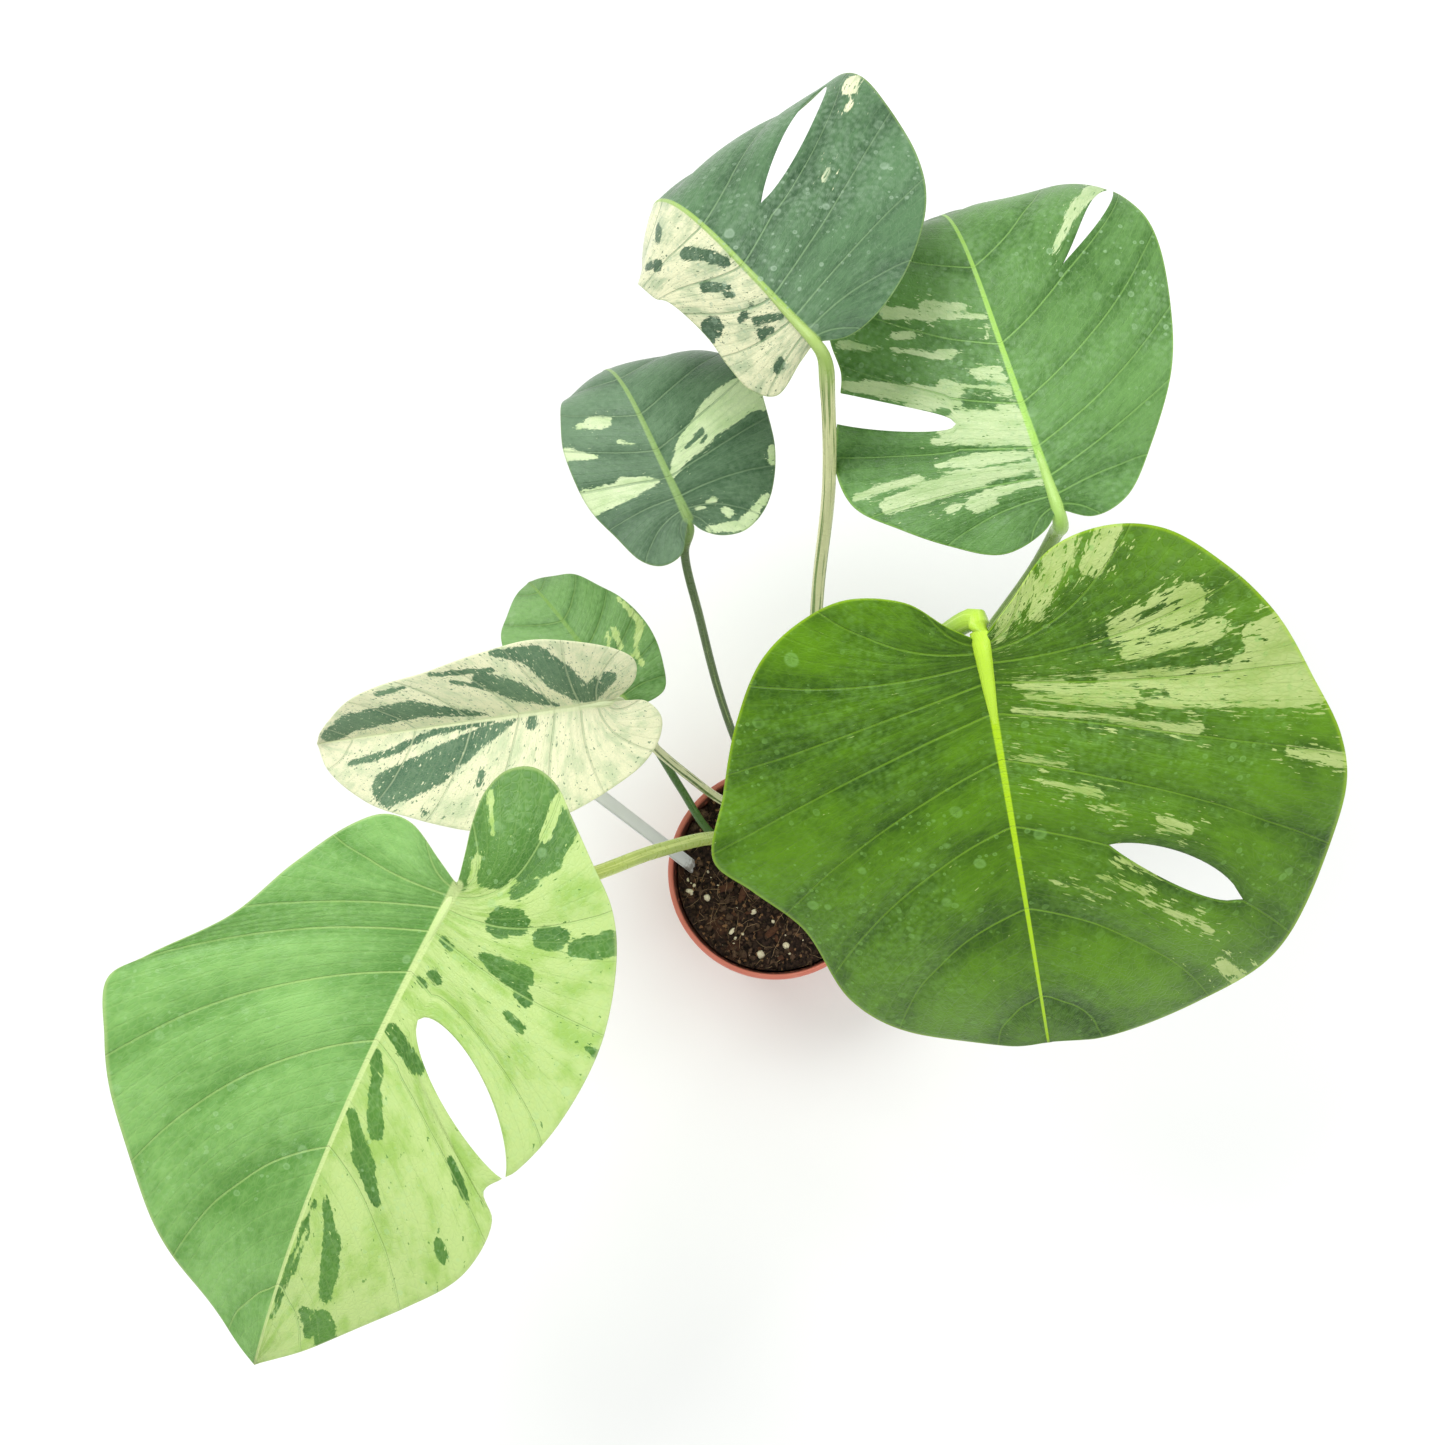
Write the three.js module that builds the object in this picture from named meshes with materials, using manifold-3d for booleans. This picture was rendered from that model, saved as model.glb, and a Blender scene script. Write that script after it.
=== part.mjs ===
// Potted monstera plant: seven variegated leaves on long petioles in a nursery pot.
// Millimetres, +Z up. The origin is the centre of the pot's flat underside.
import * as THREE from 'three';
import { mergeVertices } from 'three/addons/utils/BufferGeometryUtils.js';
import Module from 'manifold-3d';

const wasm = await Module();
wasm.setup();

// ---- driving dimensions ----
const clearance = 0.3; // gap between pieces that touch in the real plant

const potHeight = 92;
const potRimRadius = 60; // outside of the rim collar
const potBaseRadius = 42; // outside of the wall at the floor
const potWall = 1.2;
const potFloor = 1.6;
const potCollarHeight = 10;
const potCollarStep = 1.6; // how far the collar stands out from the wall
const potLip = 2.8; // width of the rolled top edge
const potEdge = 0.8; // bevel along the collar's edges
const potFootBevel = 2; // bevel round the underside
const potFloorBevel = 1; // fillet between floor and wall inside
const potSides = 40;
const drainHoles = 6;
const drainHoleRadius = 4;
const drainCircleRadius = 26;
const drillOverrun = 1; // how far a drill passes the floor on either side
const roundSides = 16; // sides of the drain holes and the stem

const soilTop = 84;
const soilRing = 3; // width of the worn slope where soil meets pot
const soilSlope = 2.5;
const soilGap = 1; // how far the dried mix has shrunk back from the wall

const stemRadius = 8;
const stemFoot = 48; // how deep the stem reaches in the soil
const stemTop = 116;
const stemPlace = [4, 6];
const stemFootTaper = 12;
const stemCrownTaper = 4;
const stemEnds = [0.6, 0.75, 0.35]; // radius at the foot, the shoulder and the crown, as shares
const stemRings = [[1.05, 6], [0.9, 14], [1, 20]]; // share of the radius, height above the soil

const labelWidth = 8;
const labelThickness = 0.6;
const labelLength = 150;
const labelBuried = 32;
const labelBearing = 173; // degrees round the pot where it leans out over the rim
const labelRimGap = 2.35; // between the label's edge and the rim it leans past
const labelLean = [-0.47, 0.25]; // sideways travel for each unit of length
const labelTwist = 20;
const labelPoint = 6.4; // length of the narrowed end that goes into the soil
const labelPointShare = 0.4; // what is left of its width there

const bladeThickness = 0.6;
const midribDepth = 2; // ridge under the blade along its midrib
const petioleSides = 8;
const petioleSteps = 18;
const bladeRows = 18;
const bladeColumns = [0, 0.03, 0.14, 0.32, 0.55, 0.8, 1];
const slitSpread = 0.16; // share of the margin over which a slit's opening dies away
const veinLeave = 75; // degrees between the midrib and a side vein where it leaves
const veinFollow = 0.35; // how much of the way to its end it takes at once
const veinCrowding = 0.9; // share of the midrib along which the veins crowd to its base
const petioleMeet = [0.5, 0.8]; // its end behind and below the joint, in radii
const perliteFlat = 0.8;

// ---- the leaves ----
// base is the joint of petiole and blade; heading, pitch and roll turn the blade there.
// left and right are the margins, from the joint round the lobe to the tip: x runs along
// the midrib and y across it. arch bends the midrib down by so many degrees between two
// shares of its length, back bends the lobes behind the joint, sweep turns it sideways.
// fold and curl lift or drop each half (left, right), and foldTip adds to fold towards the tip.
// A slit follows the vein row s from column from to column to, width wide at its widest.
const leaves = {
  leaf_1: {
    base: [-141, -40, 330], heading: 241, pitch: -8, roll: -6, length: 240, width: 230,
    arch: [26, 0.1, 1], back: 10, sweep: 10, crowd: 3.6,
    fold: [10, 14], foldTip: [0, 0], curl: [-10, -14],
    left: [[0, 0], [-14, -4], [-27, -8], [-40, -10], [-52, -7], [-59, 2], [-58, 14], [-49, 28],
      [-37, 45], [-24, 62], [-6, 74], [30, 85], [68, 84], [96, 76], [109, 68], [119, 76],
      [145, 74], [175, 56], [212, 26], [240, 0]],
    right: [[0, 0], [-6, -12], [-14, -30], [-12, -41], [-2, -51], [22, -64], [50, -76],
      [78, -100], [92, -111], [112, -102], [134, -90], [172, -62], [212, -25], [240, 0]],
    slits: [{ side: 'left', s: 0.612, from: 0.15, to: 1.01, width: 21, rise: 0.5, fall: 0.7 }],
    columns: { left: [0, 0.03, 0.09, 0.15, 0.21, 0.32, 0.45, 0.6, 0.75, 0.88, 1] },
  },
  leaf_2: {
    base: [-84, 59, 250], heading: 187, pitch: -4, roll: -12, length: 153, width: 124,
    arch: [20, 0, 1], back: 10, sweep: 0, crowd: 2.4,
    fold: [5, 50], foldTip: [0, 0], curl: [-5, -20],
    left: [[0, 0], [-10, 0.5], [-18, 2], [-24, 10], [-22, 20], [-13, 31], [2, 40], [26, 50],
      [50, 55], [76, 52], [104, 42], [130, 31], [148, 13], [153, 0]],
    right: [[0, 0], [-8, -5], [-15, -14], [-16, -25], [-8, -33], [13, -41], [30, -44],
      [51, -41], [76, -35], [102, -31], [126, -22], [146, -8], [153, 0]],
  },
  leaf_3: {
    base: [-78, 69, 205], heading: 127, pitch: 0, roll: 0, length: 94, width: 86,
    arch: [50, 0.4, 1.1], back: 10, sweep: 0, crowd: 2.4,
    fold: [0, 0], foldTip: [0, 0], curl: [-10, -10],
    left: [[0, 0], [-6, 8], [-6, 20], [4, 31], [25, 38], [46, 37], [67, 31], [82, 20], [91, 8],
      [94, 0]],
    right: [[0, 0], [-5, -8], [-5, -20], [7, -28], [29, -34], [48, -31], [65, -25], [80, -17],
      [90, -7], [94, 0]],
  },
  leaf_4: {
    base: [-46, 145, 270], heading: 114, pitch: -2, roll: 6, length: 135, width: 120,
    arch: [75, 0.36, 0.96], back: 10, sweep: 0, crowd: 2.4,
    fold: [-12, -4], foldTip: [0, 0], curl: [-10, -10],
    left: [[0, 0], [-6, 4], [-15, 10], [-16, 20], [-9, 29], [9, 36], [33, 42], [60, 41],
      [85, 34], [108, 24], [124, 11], [135, 0]],
    right: [[0, 0], [-8, -4], [-14, -12], [-15, -24], [-4, -42], [20, -57], [45, -64],
      [75, -66], [102, -55], [122, -30], [135, 0]],
  },
  leaf_5: {
    base: [10, 189, 370], heading: 129, pitch: -6, roll: -4, length: 190, width: 190,
    arch: [75, 0.26, 0.85], back: 20, sweep: 0, crowd: 2.6,
    fold: [-58, 0], foldTip: [25, 0], curl: [-10, -6],
    left: [[0, 0], [2, 14], [7, 40], [20, 49], [34, 47], [50, 42], [84, 42], [112, 42],
      [146, 36], [172, 22], [186, 8], [190, 0]],
    right: [[0, 0], [-8, -12], [-8, -30], [3, -57], [20, -80], [40, -92], [72, -101],
      [104, -104], [136, -94], [162, -72], [181, -38], [190, 0]],
    slits: [{ side: 'right', s: 0.598, from: 0.24, to: 0.9, width: 13, rise: 0.7, fall: 0.5 }],
    columns: { right: [0, 0.03, 0.12, 0.24, 0.34, 0.46, 0.58, 0.7, 0.8, 0.9, 1] },
  },
  leaf_6: {
    base: [119, 128, 330], heading: 106, pitch: 0, roll: -6, length: 200, width: 170,
    arch: [70, 0.5, 1], back: 20, sweep: 0, crowd: 2.6,
    fold: [-4, 0], foldTip: [0, 0], curl: [-12, -12],
    left: [[0, 0], [-8, 9], [-12, 28], [0, 50], [14, 68], [34, 86], [55, 88], [74, 81],
      [92, 74], [118, 72], [150, 60], [178, 38], [192, 18], [200, 0]],
    right: [[0, 0], [-8, -14], [-4, -30], [18, -50], [47, -69], [76, -80], [106, -85],
      [134, -83], [160, -74], [180, -50], [193, -22], [200, 0]],
    slits: [
      { side: 'left', s: 0.502, from: 0.38, to: 1.05, width: 15, rise: 0.35, fall: 0.05 },
      { side: 'right', s: 0.7, from: 0.42, to: 1.02, width: 11, rise: 1.5, fall: 0.6 },
    ],
    columns: {
      left: [0, 0.03, 0.14, 0.26, 0.38, 0.44, 0.56, 0.7, 0.85, 1],
      right: [0, 0.03, 0.14, 0.28, 0.42, 0.52, 0.62, 0.74, 0.86, 0.94, 1],
    },
  },
  leaf_7: {
    base: [69, 41, 420], heading: 285, pitch: -34, roll: 12, length: 218, width: 260,
    arch: [24, 0, 1], back: 20, sweep: 0, crowd: 3.4,
    fold: [-5, -8], foldTip: [0, 0], curl: [-10, -12],
    left: [[0, 0], [-14, 14], [-30, 31], [-34, 53], [-28, 75], [-9, 96], [18, 115], [51, 128],
      [80, 137], [111, 138], [168, 121], [206, 98], [221, 66], [223, 30], [218, 0]],
    right: [[0, 0], [-8, -12], [-20, -26], [-24, -48], [-17, -68], [-2, -88], [25, -105],
      [61, -119], [97, -131], [112, -117], [136, -99], [186, -85], [212, -60], [221, -20],
      [218, 0]],
    slits: [{ side: 'left', s: 0.72, from: 0.28, to: 0.75, width: 18, rise: 0.8, fall: 0.6 }],
    columns: { left: [0, 0.03, 0.14, 0.28, 0.36, 0.46, 0.58, 0.69, 0.75, 0.87, 1] },
  },
};

// ---- the petioles ----
// Each runs from inside the stem through its own points to the joint of its leaf.
const petioles = {
  petiole_1: { leaf: 'leaf_1', radius: 3.4, start: [0, 4, 104],
    route: [[-16, 7, 130], [-32, 5, 178], [-63, -12, 240], [-90, -29, 282], [-118, -40, 308]] },
  petiole_2: { leaf: 'leaf_2', radius: 2.4, start: [2, 10, 100],
    route: [[-14, 27, 122], [-31, 32, 142], [-46, 38, 170], [-64, 48, 200]] },
  petiole_3: { leaf: 'leaf_3', radius: 2.2, start: [0, 6, 78],
    route: [[-20, 12, 90], [-37, 20, 110], [-51, 38, 132], [-65, 57, 158]] },
  petiole_4: { leaf: 'leaf_4', radius: 2.2, start: [5, 10, 92],
    route: [[-8, 38, 108], [-22, 66, 130], [-32, 88, 164], [-41, 114, 206], [-48, 136, 246]] },
  petiole_5: { leaf: 'leaf_5', radius: 3.2, start: [8, 10, 108],
    route: [[13, 40, 128], [17, 84, 176], [18, 122, 238], [20, 152, 298], [17, 176, 344]] },
  petiole_6: { leaf: 'leaf_6', radius: 3.4, start: [8, 8, 96],
    route: [[30, 22, 112], [62, 52, 164], [92, 86, 226], [116, 114, 280], [122, 124, 310]] },
  petiole_7: { leaf: 'leaf_7', radius: 4, start: [5, 3, 110],
    route: [[8, 6, 150], [14, 14, 220], [28, 27, 300], [44, 40, 370], [57, 48, 406]] },
};

// x, y and radius of each grain, and x, y and turn of each chip
const perlitePlaces = [[-38, -14, 1.9], [-24, -33, 1.7], [-12, -22, 1.8], [-33, 17, 1.6],
  [6, -41, 1.8], [-8, -46, 1.9], [18, -30, 1.7], [33, -20, 1.9], [38, 20, 1.8], [12, 42, 1.9],
  [-16, 44, 1.9], [-48, -10, 1.8]];
const barkPlaces = [[-27, -8, 20], [-18, -12, 75], [9, -24, 130], [-2, -33, 40], [27, 35, 100],
  [44, -4, 160]];
const barkSize = [9, 4, 2.2];

// ---- materials ----
function finish(color, roughness) {
  return new THREE.MeshStandardMaterial({ color, roughness, metalness: 0 });
}

const potPlastic = () => finish(0xc4574a, 0.5);
const peat = () => finish(0x33221a, 0.95);
const stemSkin = () => finish(0x5d7a38, 0.6);
const petioleSkin = () => finish(0x7f9a45, 0.5);
const greenBlade = () => finish(0x3f8a3c, 0.45);
const creamBlade = () => finish(0xd5deac, 0.5);
const labelPlastic = () => finish(0xe6e8ea, 0.4);
const perliteGrain = () => finish(0xe9e4d4, 0.9);
const barkWood = () => finish(0x5a3324, 0.9);

// ---- solids ----
function toSolid(geometry) {
  const bare = geometry.clone();
  bare.deleteAttribute('normal');
  bare.deleteAttribute('uv');
  const merged = mergeVertices(bare);
  const vertProperties = new Float32Array(merged.attributes.position.array);
  const triVerts = new Uint32Array(merged.index.array);
  return new wasm.Manifold(new wasm.Mesh({ numProp: 3, vertProperties, triVerts }));
}

function toGeometry(solid) {
  const mesh = solid.getMesh();
  const geometry = new THREE.BufferGeometry();
  geometry.setAttribute('position', new THREE.BufferAttribute(mesh.vertProperties, 3));
  geometry.setIndex(new THREE.BufferAttribute(mesh.triVerts, 1));
  return geometry;
}

function lathe(profile, sides) {
  const geometry = new THREE.LatheGeometry(profile.map(([r, z]) => new THREE.Vector2(r, z)), sides);
  return geometry.rotateX(Math.PI / 2);
}

function cylinderUp(radius, bottom, top, sides) {
  return new THREE.CylinderGeometry(radius, radius, top - bottom, sides)
    .rotateX(Math.PI / 2)
    .translate(0, 0, (bottom + top) / 2);
}

function named(name, geometry, material) {
  const mesh = new THREE.Mesh(geometry, material);
  mesh.name = name;
  return mesh;
}

// ---- pot ----
const wallTopRadius = potRimRadius - potCollarStep; // outside of the wall under the collar
const collarFoot = potHeight - potCollarHeight;

// outside radius of the plain wall at a height
function wallRadius(z) {
  return potBaseRadius + (wallTopRadius - potBaseRadius) * z / potHeight;
}

function makePot() {
  const profile = [
    [0, 0],
    [potBaseRadius - potFootBevel, 0],
    [potBaseRadius, potFootBevel],
    [wallRadius(collarFoot), collarFoot],
    [potRimRadius - potEdge / 2, collarFoot + potEdge],
    [potRimRadius, potHeight - potEdge],
    [potRimRadius - potEdge, potHeight],
    [potRimRadius - potLip, potHeight],
    [potRimRadius - potLip, potHeight - potWall],
    [wallRadius(collarFoot) - potWall, collarFoot],
    [potBaseRadius - potWall, potFloor + potFloorBevel],
    [potBaseRadius - potWall - potFloorBevel, potFloor],
    [0, potFloor],
  ];
  let solid = toSolid(lathe(profile, potSides));
  for (let i = 0; i < drainHoles; i += 1) {
    const angle = 2 * Math.PI * i / drainHoles;
    const hole = cylinderUp(drainHoleRadius, -drillOverrun, potFloor + drillOverrun, roundSides)
      .translate(drainCircleRadius * Math.cos(angle), drainCircleRadius * Math.sin(angle), 0);
    solid = solid.subtract(toSolid(hole));
  }
  return named('pot', toGeometry(solid), potPlastic());
}

// ---- stem ----
function makeStemGeometry(extra) {
  const [foot, shoulder, crown] = stemEnds;
  const profile = [
    [0, stemFoot - extra],
    [stemRadius * foot + extra, stemFoot - extra],
    [stemRadius + extra, stemFoot + stemFootTaper],
    ...stemRings.map(([share, above]) => [stemRadius * share + extra, soilTop + above]),
    [stemRadius * shoulder + extra, stemTop - stemCrownTaper],
    [stemRadius * crown + extra, stemTop + extra],
    [0, stemTop + extra],
  ];
  return lathe(profile, roundSides).translate(stemPlace[0], stemPlace[1], 0);
}

// ---- plant label: a blank strip pushed into the soil at a lean ----
function makeLabelGeometry(extra) {
  const half = labelWidth / 2 + extra;
  const outline = new THREE.Shape();
  outline.moveTo(-half, labelLength + extra);
  outline.lineTo(-half, labelPoint);
  outline.lineTo(-half * labelPointShare, -extra);
  outline.lineTo(half * labelPointShare, -extra);
  outline.lineTo(half, labelPoint);
  outline.lineTo(half, labelLength + extra);
  const depth = labelThickness + 2 * extra;
  const geometry = new THREE.ExtrudeGeometry(outline, { depth, bevelEnabled: false });
  geometry.translate(0, -labelBuried, -depth / 2);
  const [leanX, leanY] = labelLean;
  const along = new THREE.Vector3(leanX, leanY, Math.sqrt(1 - leanX ** 2 - leanY ** 2));
  const rimReach = potRimRadius - potLip - labelRimGap - labelWidth / 2;
  const bearing = THREE.MathUtils.degToRad(labelBearing);
  const entry = new THREE.Vector3(rimReach * Math.cos(bearing), rimReach * Math.sin(bearing), potHeight)
    .addScaledVector(along, -(potHeight - soilTop) / along.z);
  const across = new THREE.Vector3(0, 0, 1).cross(along).normalize();
  across.applyAxisAngle(along, THREE.MathUtils.degToRad(labelTwist));
  const face = new THREE.Vector3().crossVectors(across, along);
  geometry.applyMatrix4(new THREE.Matrix4().makeBasis(across, along, face));
  return geometry.translate(entry.x, entry.y, entry.z);
}

// ---- soil: fills the pot and is pierced by the stem, the label and the low petioles ----
function makeSoil(piercing) {
  const foot = potFloor + clearance;
  const inside = (z) => wallRadius(z) - potWall - clearance;
  const profile = [
    [0, foot],
    [potBaseRadius - potWall - potFloorBevel - 2 * clearance, foot],
    [inside(collarFoot / 2) - clearance, collarFoot / 2],
    [inside(soilTop - soilSlope) - soilGap, soilTop - soilSlope],
    [inside(soilTop) - soilGap - soilRing, soilTop],
    [0, soilTop],
  ];
  let solid = toSolid(lathe(profile, potSides));
  piercing.forEach((geometry) => {
    solid = solid.subtract(toSolid(geometry));
  });
  return named('soil', toGeometry(solid), peat());
}

// ---- perlite and bark lying on the soil ----
function makePerlite(index) {
  const [x, y, radius] = perlitePlaces[index];
  const geometry = new THREE.IcosahedronGeometry(radius, 0);
  geometry.scale(1, perliteFlat + (1 - perliteFlat) * Math.sin(index), perliteFlat);
  geometry.rotateZ(index);
  const mesh = named(`perlite_${index + 1}`, geometry, perliteGrain());
  mesh.position.set(x, y, soilTop + clearance + radius * perliteFlat);
  return mesh;
}

function makeBark(index) {
  const [x, y, turn] = barkPlaces[index];
  const [length, width, height] = barkSize;
  const outline = new THREE.Shape([
    new THREE.Vector2(-length / 2, -width * 0.3),
    new THREE.Vector2(length * 0.3, -width / 2),
    new THREE.Vector2(length / 2, width * 0.1),
    new THREE.Vector2(length * 0.2, width / 2),
    new THREE.Vector2(-length * 0.4, width * 0.4),
  ]);
  const geometry = new THREE.ExtrudeGeometry(outline, { depth: height, bevelEnabled: false });
  const mesh = named(`bark_chip_${index + 1}`, geometry, barkWood());
  mesh.position.set(x, y, soilTop + clearance);
  mesh.rotation.z = THREE.MathUtils.degToRad(turn);
  return mesh;
}

// ---- blade surface ----
const radians = THREE.MathUtils.degToRad;
const smooth = (u, low, high) => THREE.MathUtils.smoothstep(u, low, high);

// the midrib as a bent line: its point, forward, side and up directions at x
function spineAt(leaf, x) {
  const steps = 60;
  const point = new THREE.Vector3();
  const forwardAt = (at) => {
    const u = at / leaf.length;
    const droop = radians(leaf.arch[0]) * smooth(u, leaf.arch[1], leaf.arch[2]);
    const pitch = u < 0 ? radians(leaf.back) * u : droop;
    const yaw = radians(leaf.sweep) * u;
    return new THREE.Vector3(
      Math.cos(pitch) * Math.cos(yaw), Math.cos(pitch) * Math.sin(yaw), -Math.sin(pitch));
  };
  for (let i = 0; i < steps; i += 1) {
    point.addScaledVector(forwardAt(x * (i + 0.5) / steps), x / steps);
  }
  const forward = forwardAt(x);
  const side = new THREE.Vector3(-forward.y, forward.x, 0).normalize();
  const up = new THREE.Vector3().crossVectors(forward, side);
  return { point, side, up };
}

// a plan point (x along, y outwards from the midrib) on the folded, curled and bent blade
function bladePoint(leaf, half, x, y) {
  const which = half === 'left' ? 0 : 1;
  const sign = half === 'left' ? 1 : -1;
  const { point, side, up } = spineAt(leaf, x);
  const u = THREE.MathUtils.clamp(x / leaf.length, -0.4, 1.1);
  const v = THREE.MathUtils.clamp(sign * y / (leaf.width / 2), 0, 2);
  const fold = radians(leaf.fold[which] + leaf.foldTip[which] * u);
  const curl = radians(leaf.curl[which]);
  const steps = 16;
  let across = 0;
  let rise = 0;
  for (let i = 0; i < steps; i += 1) {
    const angle = fold + curl * v * (i + 0.5) / steps;
    across += Math.cos(angle) / steps;
    rise += Math.sin(angle) / steps;
  }
  return point
    .addScaledVector(side, y * across)
    .addScaledVector(up, sign * y * rise);
}

// how far a slit's edge stands from its vein, as a share of its half width
function slitShare(slit, t) {
  const tau = THREE.MathUtils.clamp((t - slit.from) / (slit.to - slit.from), 0, 1);
  const peak = slit.rise / (slit.rise + slit.fall);
  return (tau / peak) ** slit.rise * ((1 - tau) / (1 - peak)) ** slit.fall;
}

// the vein row s as a curve in plan: from the midrib it sweeps out to the margin
function makeRows(leaf, half) {
  const sign = half === 'left' ? 1 : -1;
  const margin = new THREE.CatmullRomCurve3(
    leaf[half].map(([x, y]) => new THREE.Vector3(x, y, 0)), false, 'centripetal');
  margin.arcLengthDivisions = 400;
  const vein = (s) => {
    const share = (1 - veinCrowding) * s + veinCrowding * s ** leaf.crowd;
    const start = new THREE.Vector2(leaf.length * share, 0);
    const end = margin.getPointAt(s);
    const reach = Math.hypot(end.x - start.x, end.y);
    const straight = THREE.MathUtils.radToDeg(Math.atan2(sign * end.y, end.x - start.x));
    const heading = straight < -90 ? straight + 360 : straight;
    const leave = radians(veinLeave + veinFollow * (heading - veinLeave));
    const bend = new THREE.Vector2(
      start.x + 0.5 * reach * Math.cos(leave), sign * 0.5 * reach * Math.sin(leave));
    return new THREE.QuadraticBezierCurve(start, bend, new THREE.Vector2(end.x, end.y));
  };
  const plan = (s, t, edge) => {
    const point = vein(s).getPoint(t);
    (leaf.slits || []).filter((slit) => slit.side === half).forEach((slit) => {
      const near = 1 - Math.abs(s - slit.s) / slitSpread;
      if (near <= 0 || t <= slit.from || t >= slit.to) return;
      const way = vein(Math.min(slit.s + 0.01, 1)).getPoint(t).sub(vein(slit.s - 0.01).getPoint(t));
      const towards = s === slit.s ? edge : Math.sign(s - slit.s);
      const push = towards * slit.width / 2 * slitShare(slit, t) * near ** 2;
      point.addScaledVector(way.normalize(), push);
    });
    return point;
  };
  return plan;
}

// rows of the blade grid, with the nearest plain row moved onto each slit
function rowPlaces(leaf) {
  const rows = Array.from({ length: bladeRows + 1 }, (unused, i) => i / bladeRows);
  (leaf.slits || []).forEach((slit) => {
    rows[Math.round(slit.s * bladeRows)] = slit.s;
  });
  return rows;
}

// One half of the top sheet: triangles as triples of points, wound to face up.
function halfTriangles(leaf, half) {
  const plan = makeRows(leaf, half);
  const rows = rowPlaces(leaf);
  const columns = (leaf.columns && leaf.columns[half]) || bladeColumns;
  const at = (s, t, edge) => {
    const p = plan(s, t, edge);
    const point = bladePoint(leaf, half, p.x, p.y);
    point.ribShare = t === 0 ? Math.min(1, 1.3 - s) : 0;
    return point;
  };
  const triangles = [];
  for (let i = 0; i < rows.length - 1; i += 1) {
    for (let j = 0; j < columns.length - 1; j += 1) {
      const a = at(rows[i], columns[j], 1);
      const b = at(rows[i + 1], columns[j], -1);
      const c = at(rows[i + 1], columns[j + 1], -1);
      const d = at(rows[i], columns[j + 1], 1);
      if (half === 'left') triangles.push([a, b, c], [a, c, d]);
      else triangles.push([a, c, b], [a, d, c]);
    }
  }
  return triangles;
}

// The blade as a closed solid: the top sheet, the same sheet lowered, and a rim between.
function makeBladeGeometry(leaf) {
  const points = [];
  const found = new Map();
  const indexOf = (p) => {
    const key = [p.x, p.y, p.z].map((n) => n.toFixed(3)).join();
    if (!found.has(key)) {
      found.set(key, points.length);
      points.push(p);
    }
    return found.get(key);
  };
  const faces = [...halfTriangles(leaf, 'left'), ...halfTriangles(leaf, 'right')]
    .map((triangle) => triangle.map(indexOf))
    .filter(([a, b, c]) => a !== b && b !== c && c !== a);

  const normals = points.map(() => new THREE.Vector3());
  faces.forEach(([a, b, c]) => {
    const ab = new THREE.Vector3().subVectors(points[b], points[a]);
    const ac = new THREE.Vector3().subVectors(points[c], points[a]);
    const normal = ab.cross(ac);
    [a, b, c].forEach((k) => normals[k].add(normal));
  });
  const count = points.length;
  const lowered = points.map((p, k) => {
    const depth = bladeThickness + midribDepth * p.ribShare;
    return p.clone().addScaledVector(normals[k].normalize(), -depth);
  });

  const edges = new Map();
  faces.forEach(([a, b, c]) => {
    [[a, b], [b, c], [c, a]].forEach(([from, to]) => {
      if (!edges.delete(`${to},${from}`)) edges.set(`${from},${to}`, [from, to]);
    });
  });
  const index = [];
  faces.forEach(([a, b, c]) => {
    index.push(a, b, c, count + a, count + c, count + b);
  });
  edges.forEach(([from, to]) => {
    index.push(from, count + from, count + to, from, count + to, to);
  });
  const geometry = new THREE.BufferGeometry();
  geometry.setFromPoints([...points, ...lowered]);
  geometry.setIndex(index);
  return geometry;
}

function placeLeaf(object, leaf) {
  object.position.set(...leaf.base);
  object.rotation.set(radians(leaf.roll), radians(-leaf.pitch), radians(leaf.heading), 'ZYX');
  return object;
}

function makeLeaf(name) {
  const material = name === 'leaf_2' ? creamBlade() : greenBlade();
  return placeLeaf(named(name, makeBladeGeometry(leaves[name]), material), leaves[name]);
}

// ---- petioles ----
// The petiole meets the blade from below, just behind the joint.
function jointPoint(leaf, radius) {
  const [behind, under] = petioleMeet;
  const below = bladeThickness + midribDepth + clearance + radius * under;
  const holder = placeLeaf(new THREE.Object3D(), leaf);
  holder.updateMatrixWorld();
  return new THREE.Vector3(-radius * behind, 0, -below).applyMatrix4(holder.matrixWorld);
}

function makePetioleGeometry(petiole, extra) {
  const route = [petiole.start, ...petiole.route].map((p) => new THREE.Vector3(...p));
  route.push(jointPoint(leaves[petiole.leaf], petiole.radius));
  const path = new THREE.CatmullRomCurve3(route, false, 'centripetal');
  const section = new THREE.Shape();
  section.absarc(0, 0, petiole.radius + extra, 0, 2 * Math.PI);
  return new THREE.ExtrudeGeometry(section, {
    steps: petioleSteps,
    curveSegments: petioleSides / 2,
    extrudePath: path,
  });
}

function makePetiole(name, stemSocket) {
  const geometry = makePetioleGeometry(petioles[name], 0);
  const solid = toSolid(geometry).subtract(stemSocket);
  return named(name, toGeometry(solid), petioleSkin());
}

// ---- assembly ----
const plant = new THREE.Group();
const stemSocket = toSolid(makeStemGeometry(clearance));

plant.add(makePot());
plant.add(makeSoil([
  makeStemGeometry(clearance),
  makeLabelGeometry(clearance),
  makePetioleGeometry(petioles.petiole_3, clearance),
]));
plant.add(named('stem', makeStemGeometry(0), stemSkin()));
plant.add(named('plant_label', makeLabelGeometry(0), labelPlastic()));
perlitePlaces.forEach((place, index) => plant.add(makePerlite(index)));
barkPlaces.forEach((place, index) => plant.add(makeBark(index)));
Object.keys(petioles).forEach((name) => plant.add(makePetiole(name, stemSocket)));
Object.keys(leaves).forEach((name) => plant.add(makeLeaf(name)));

export default plant;
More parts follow.
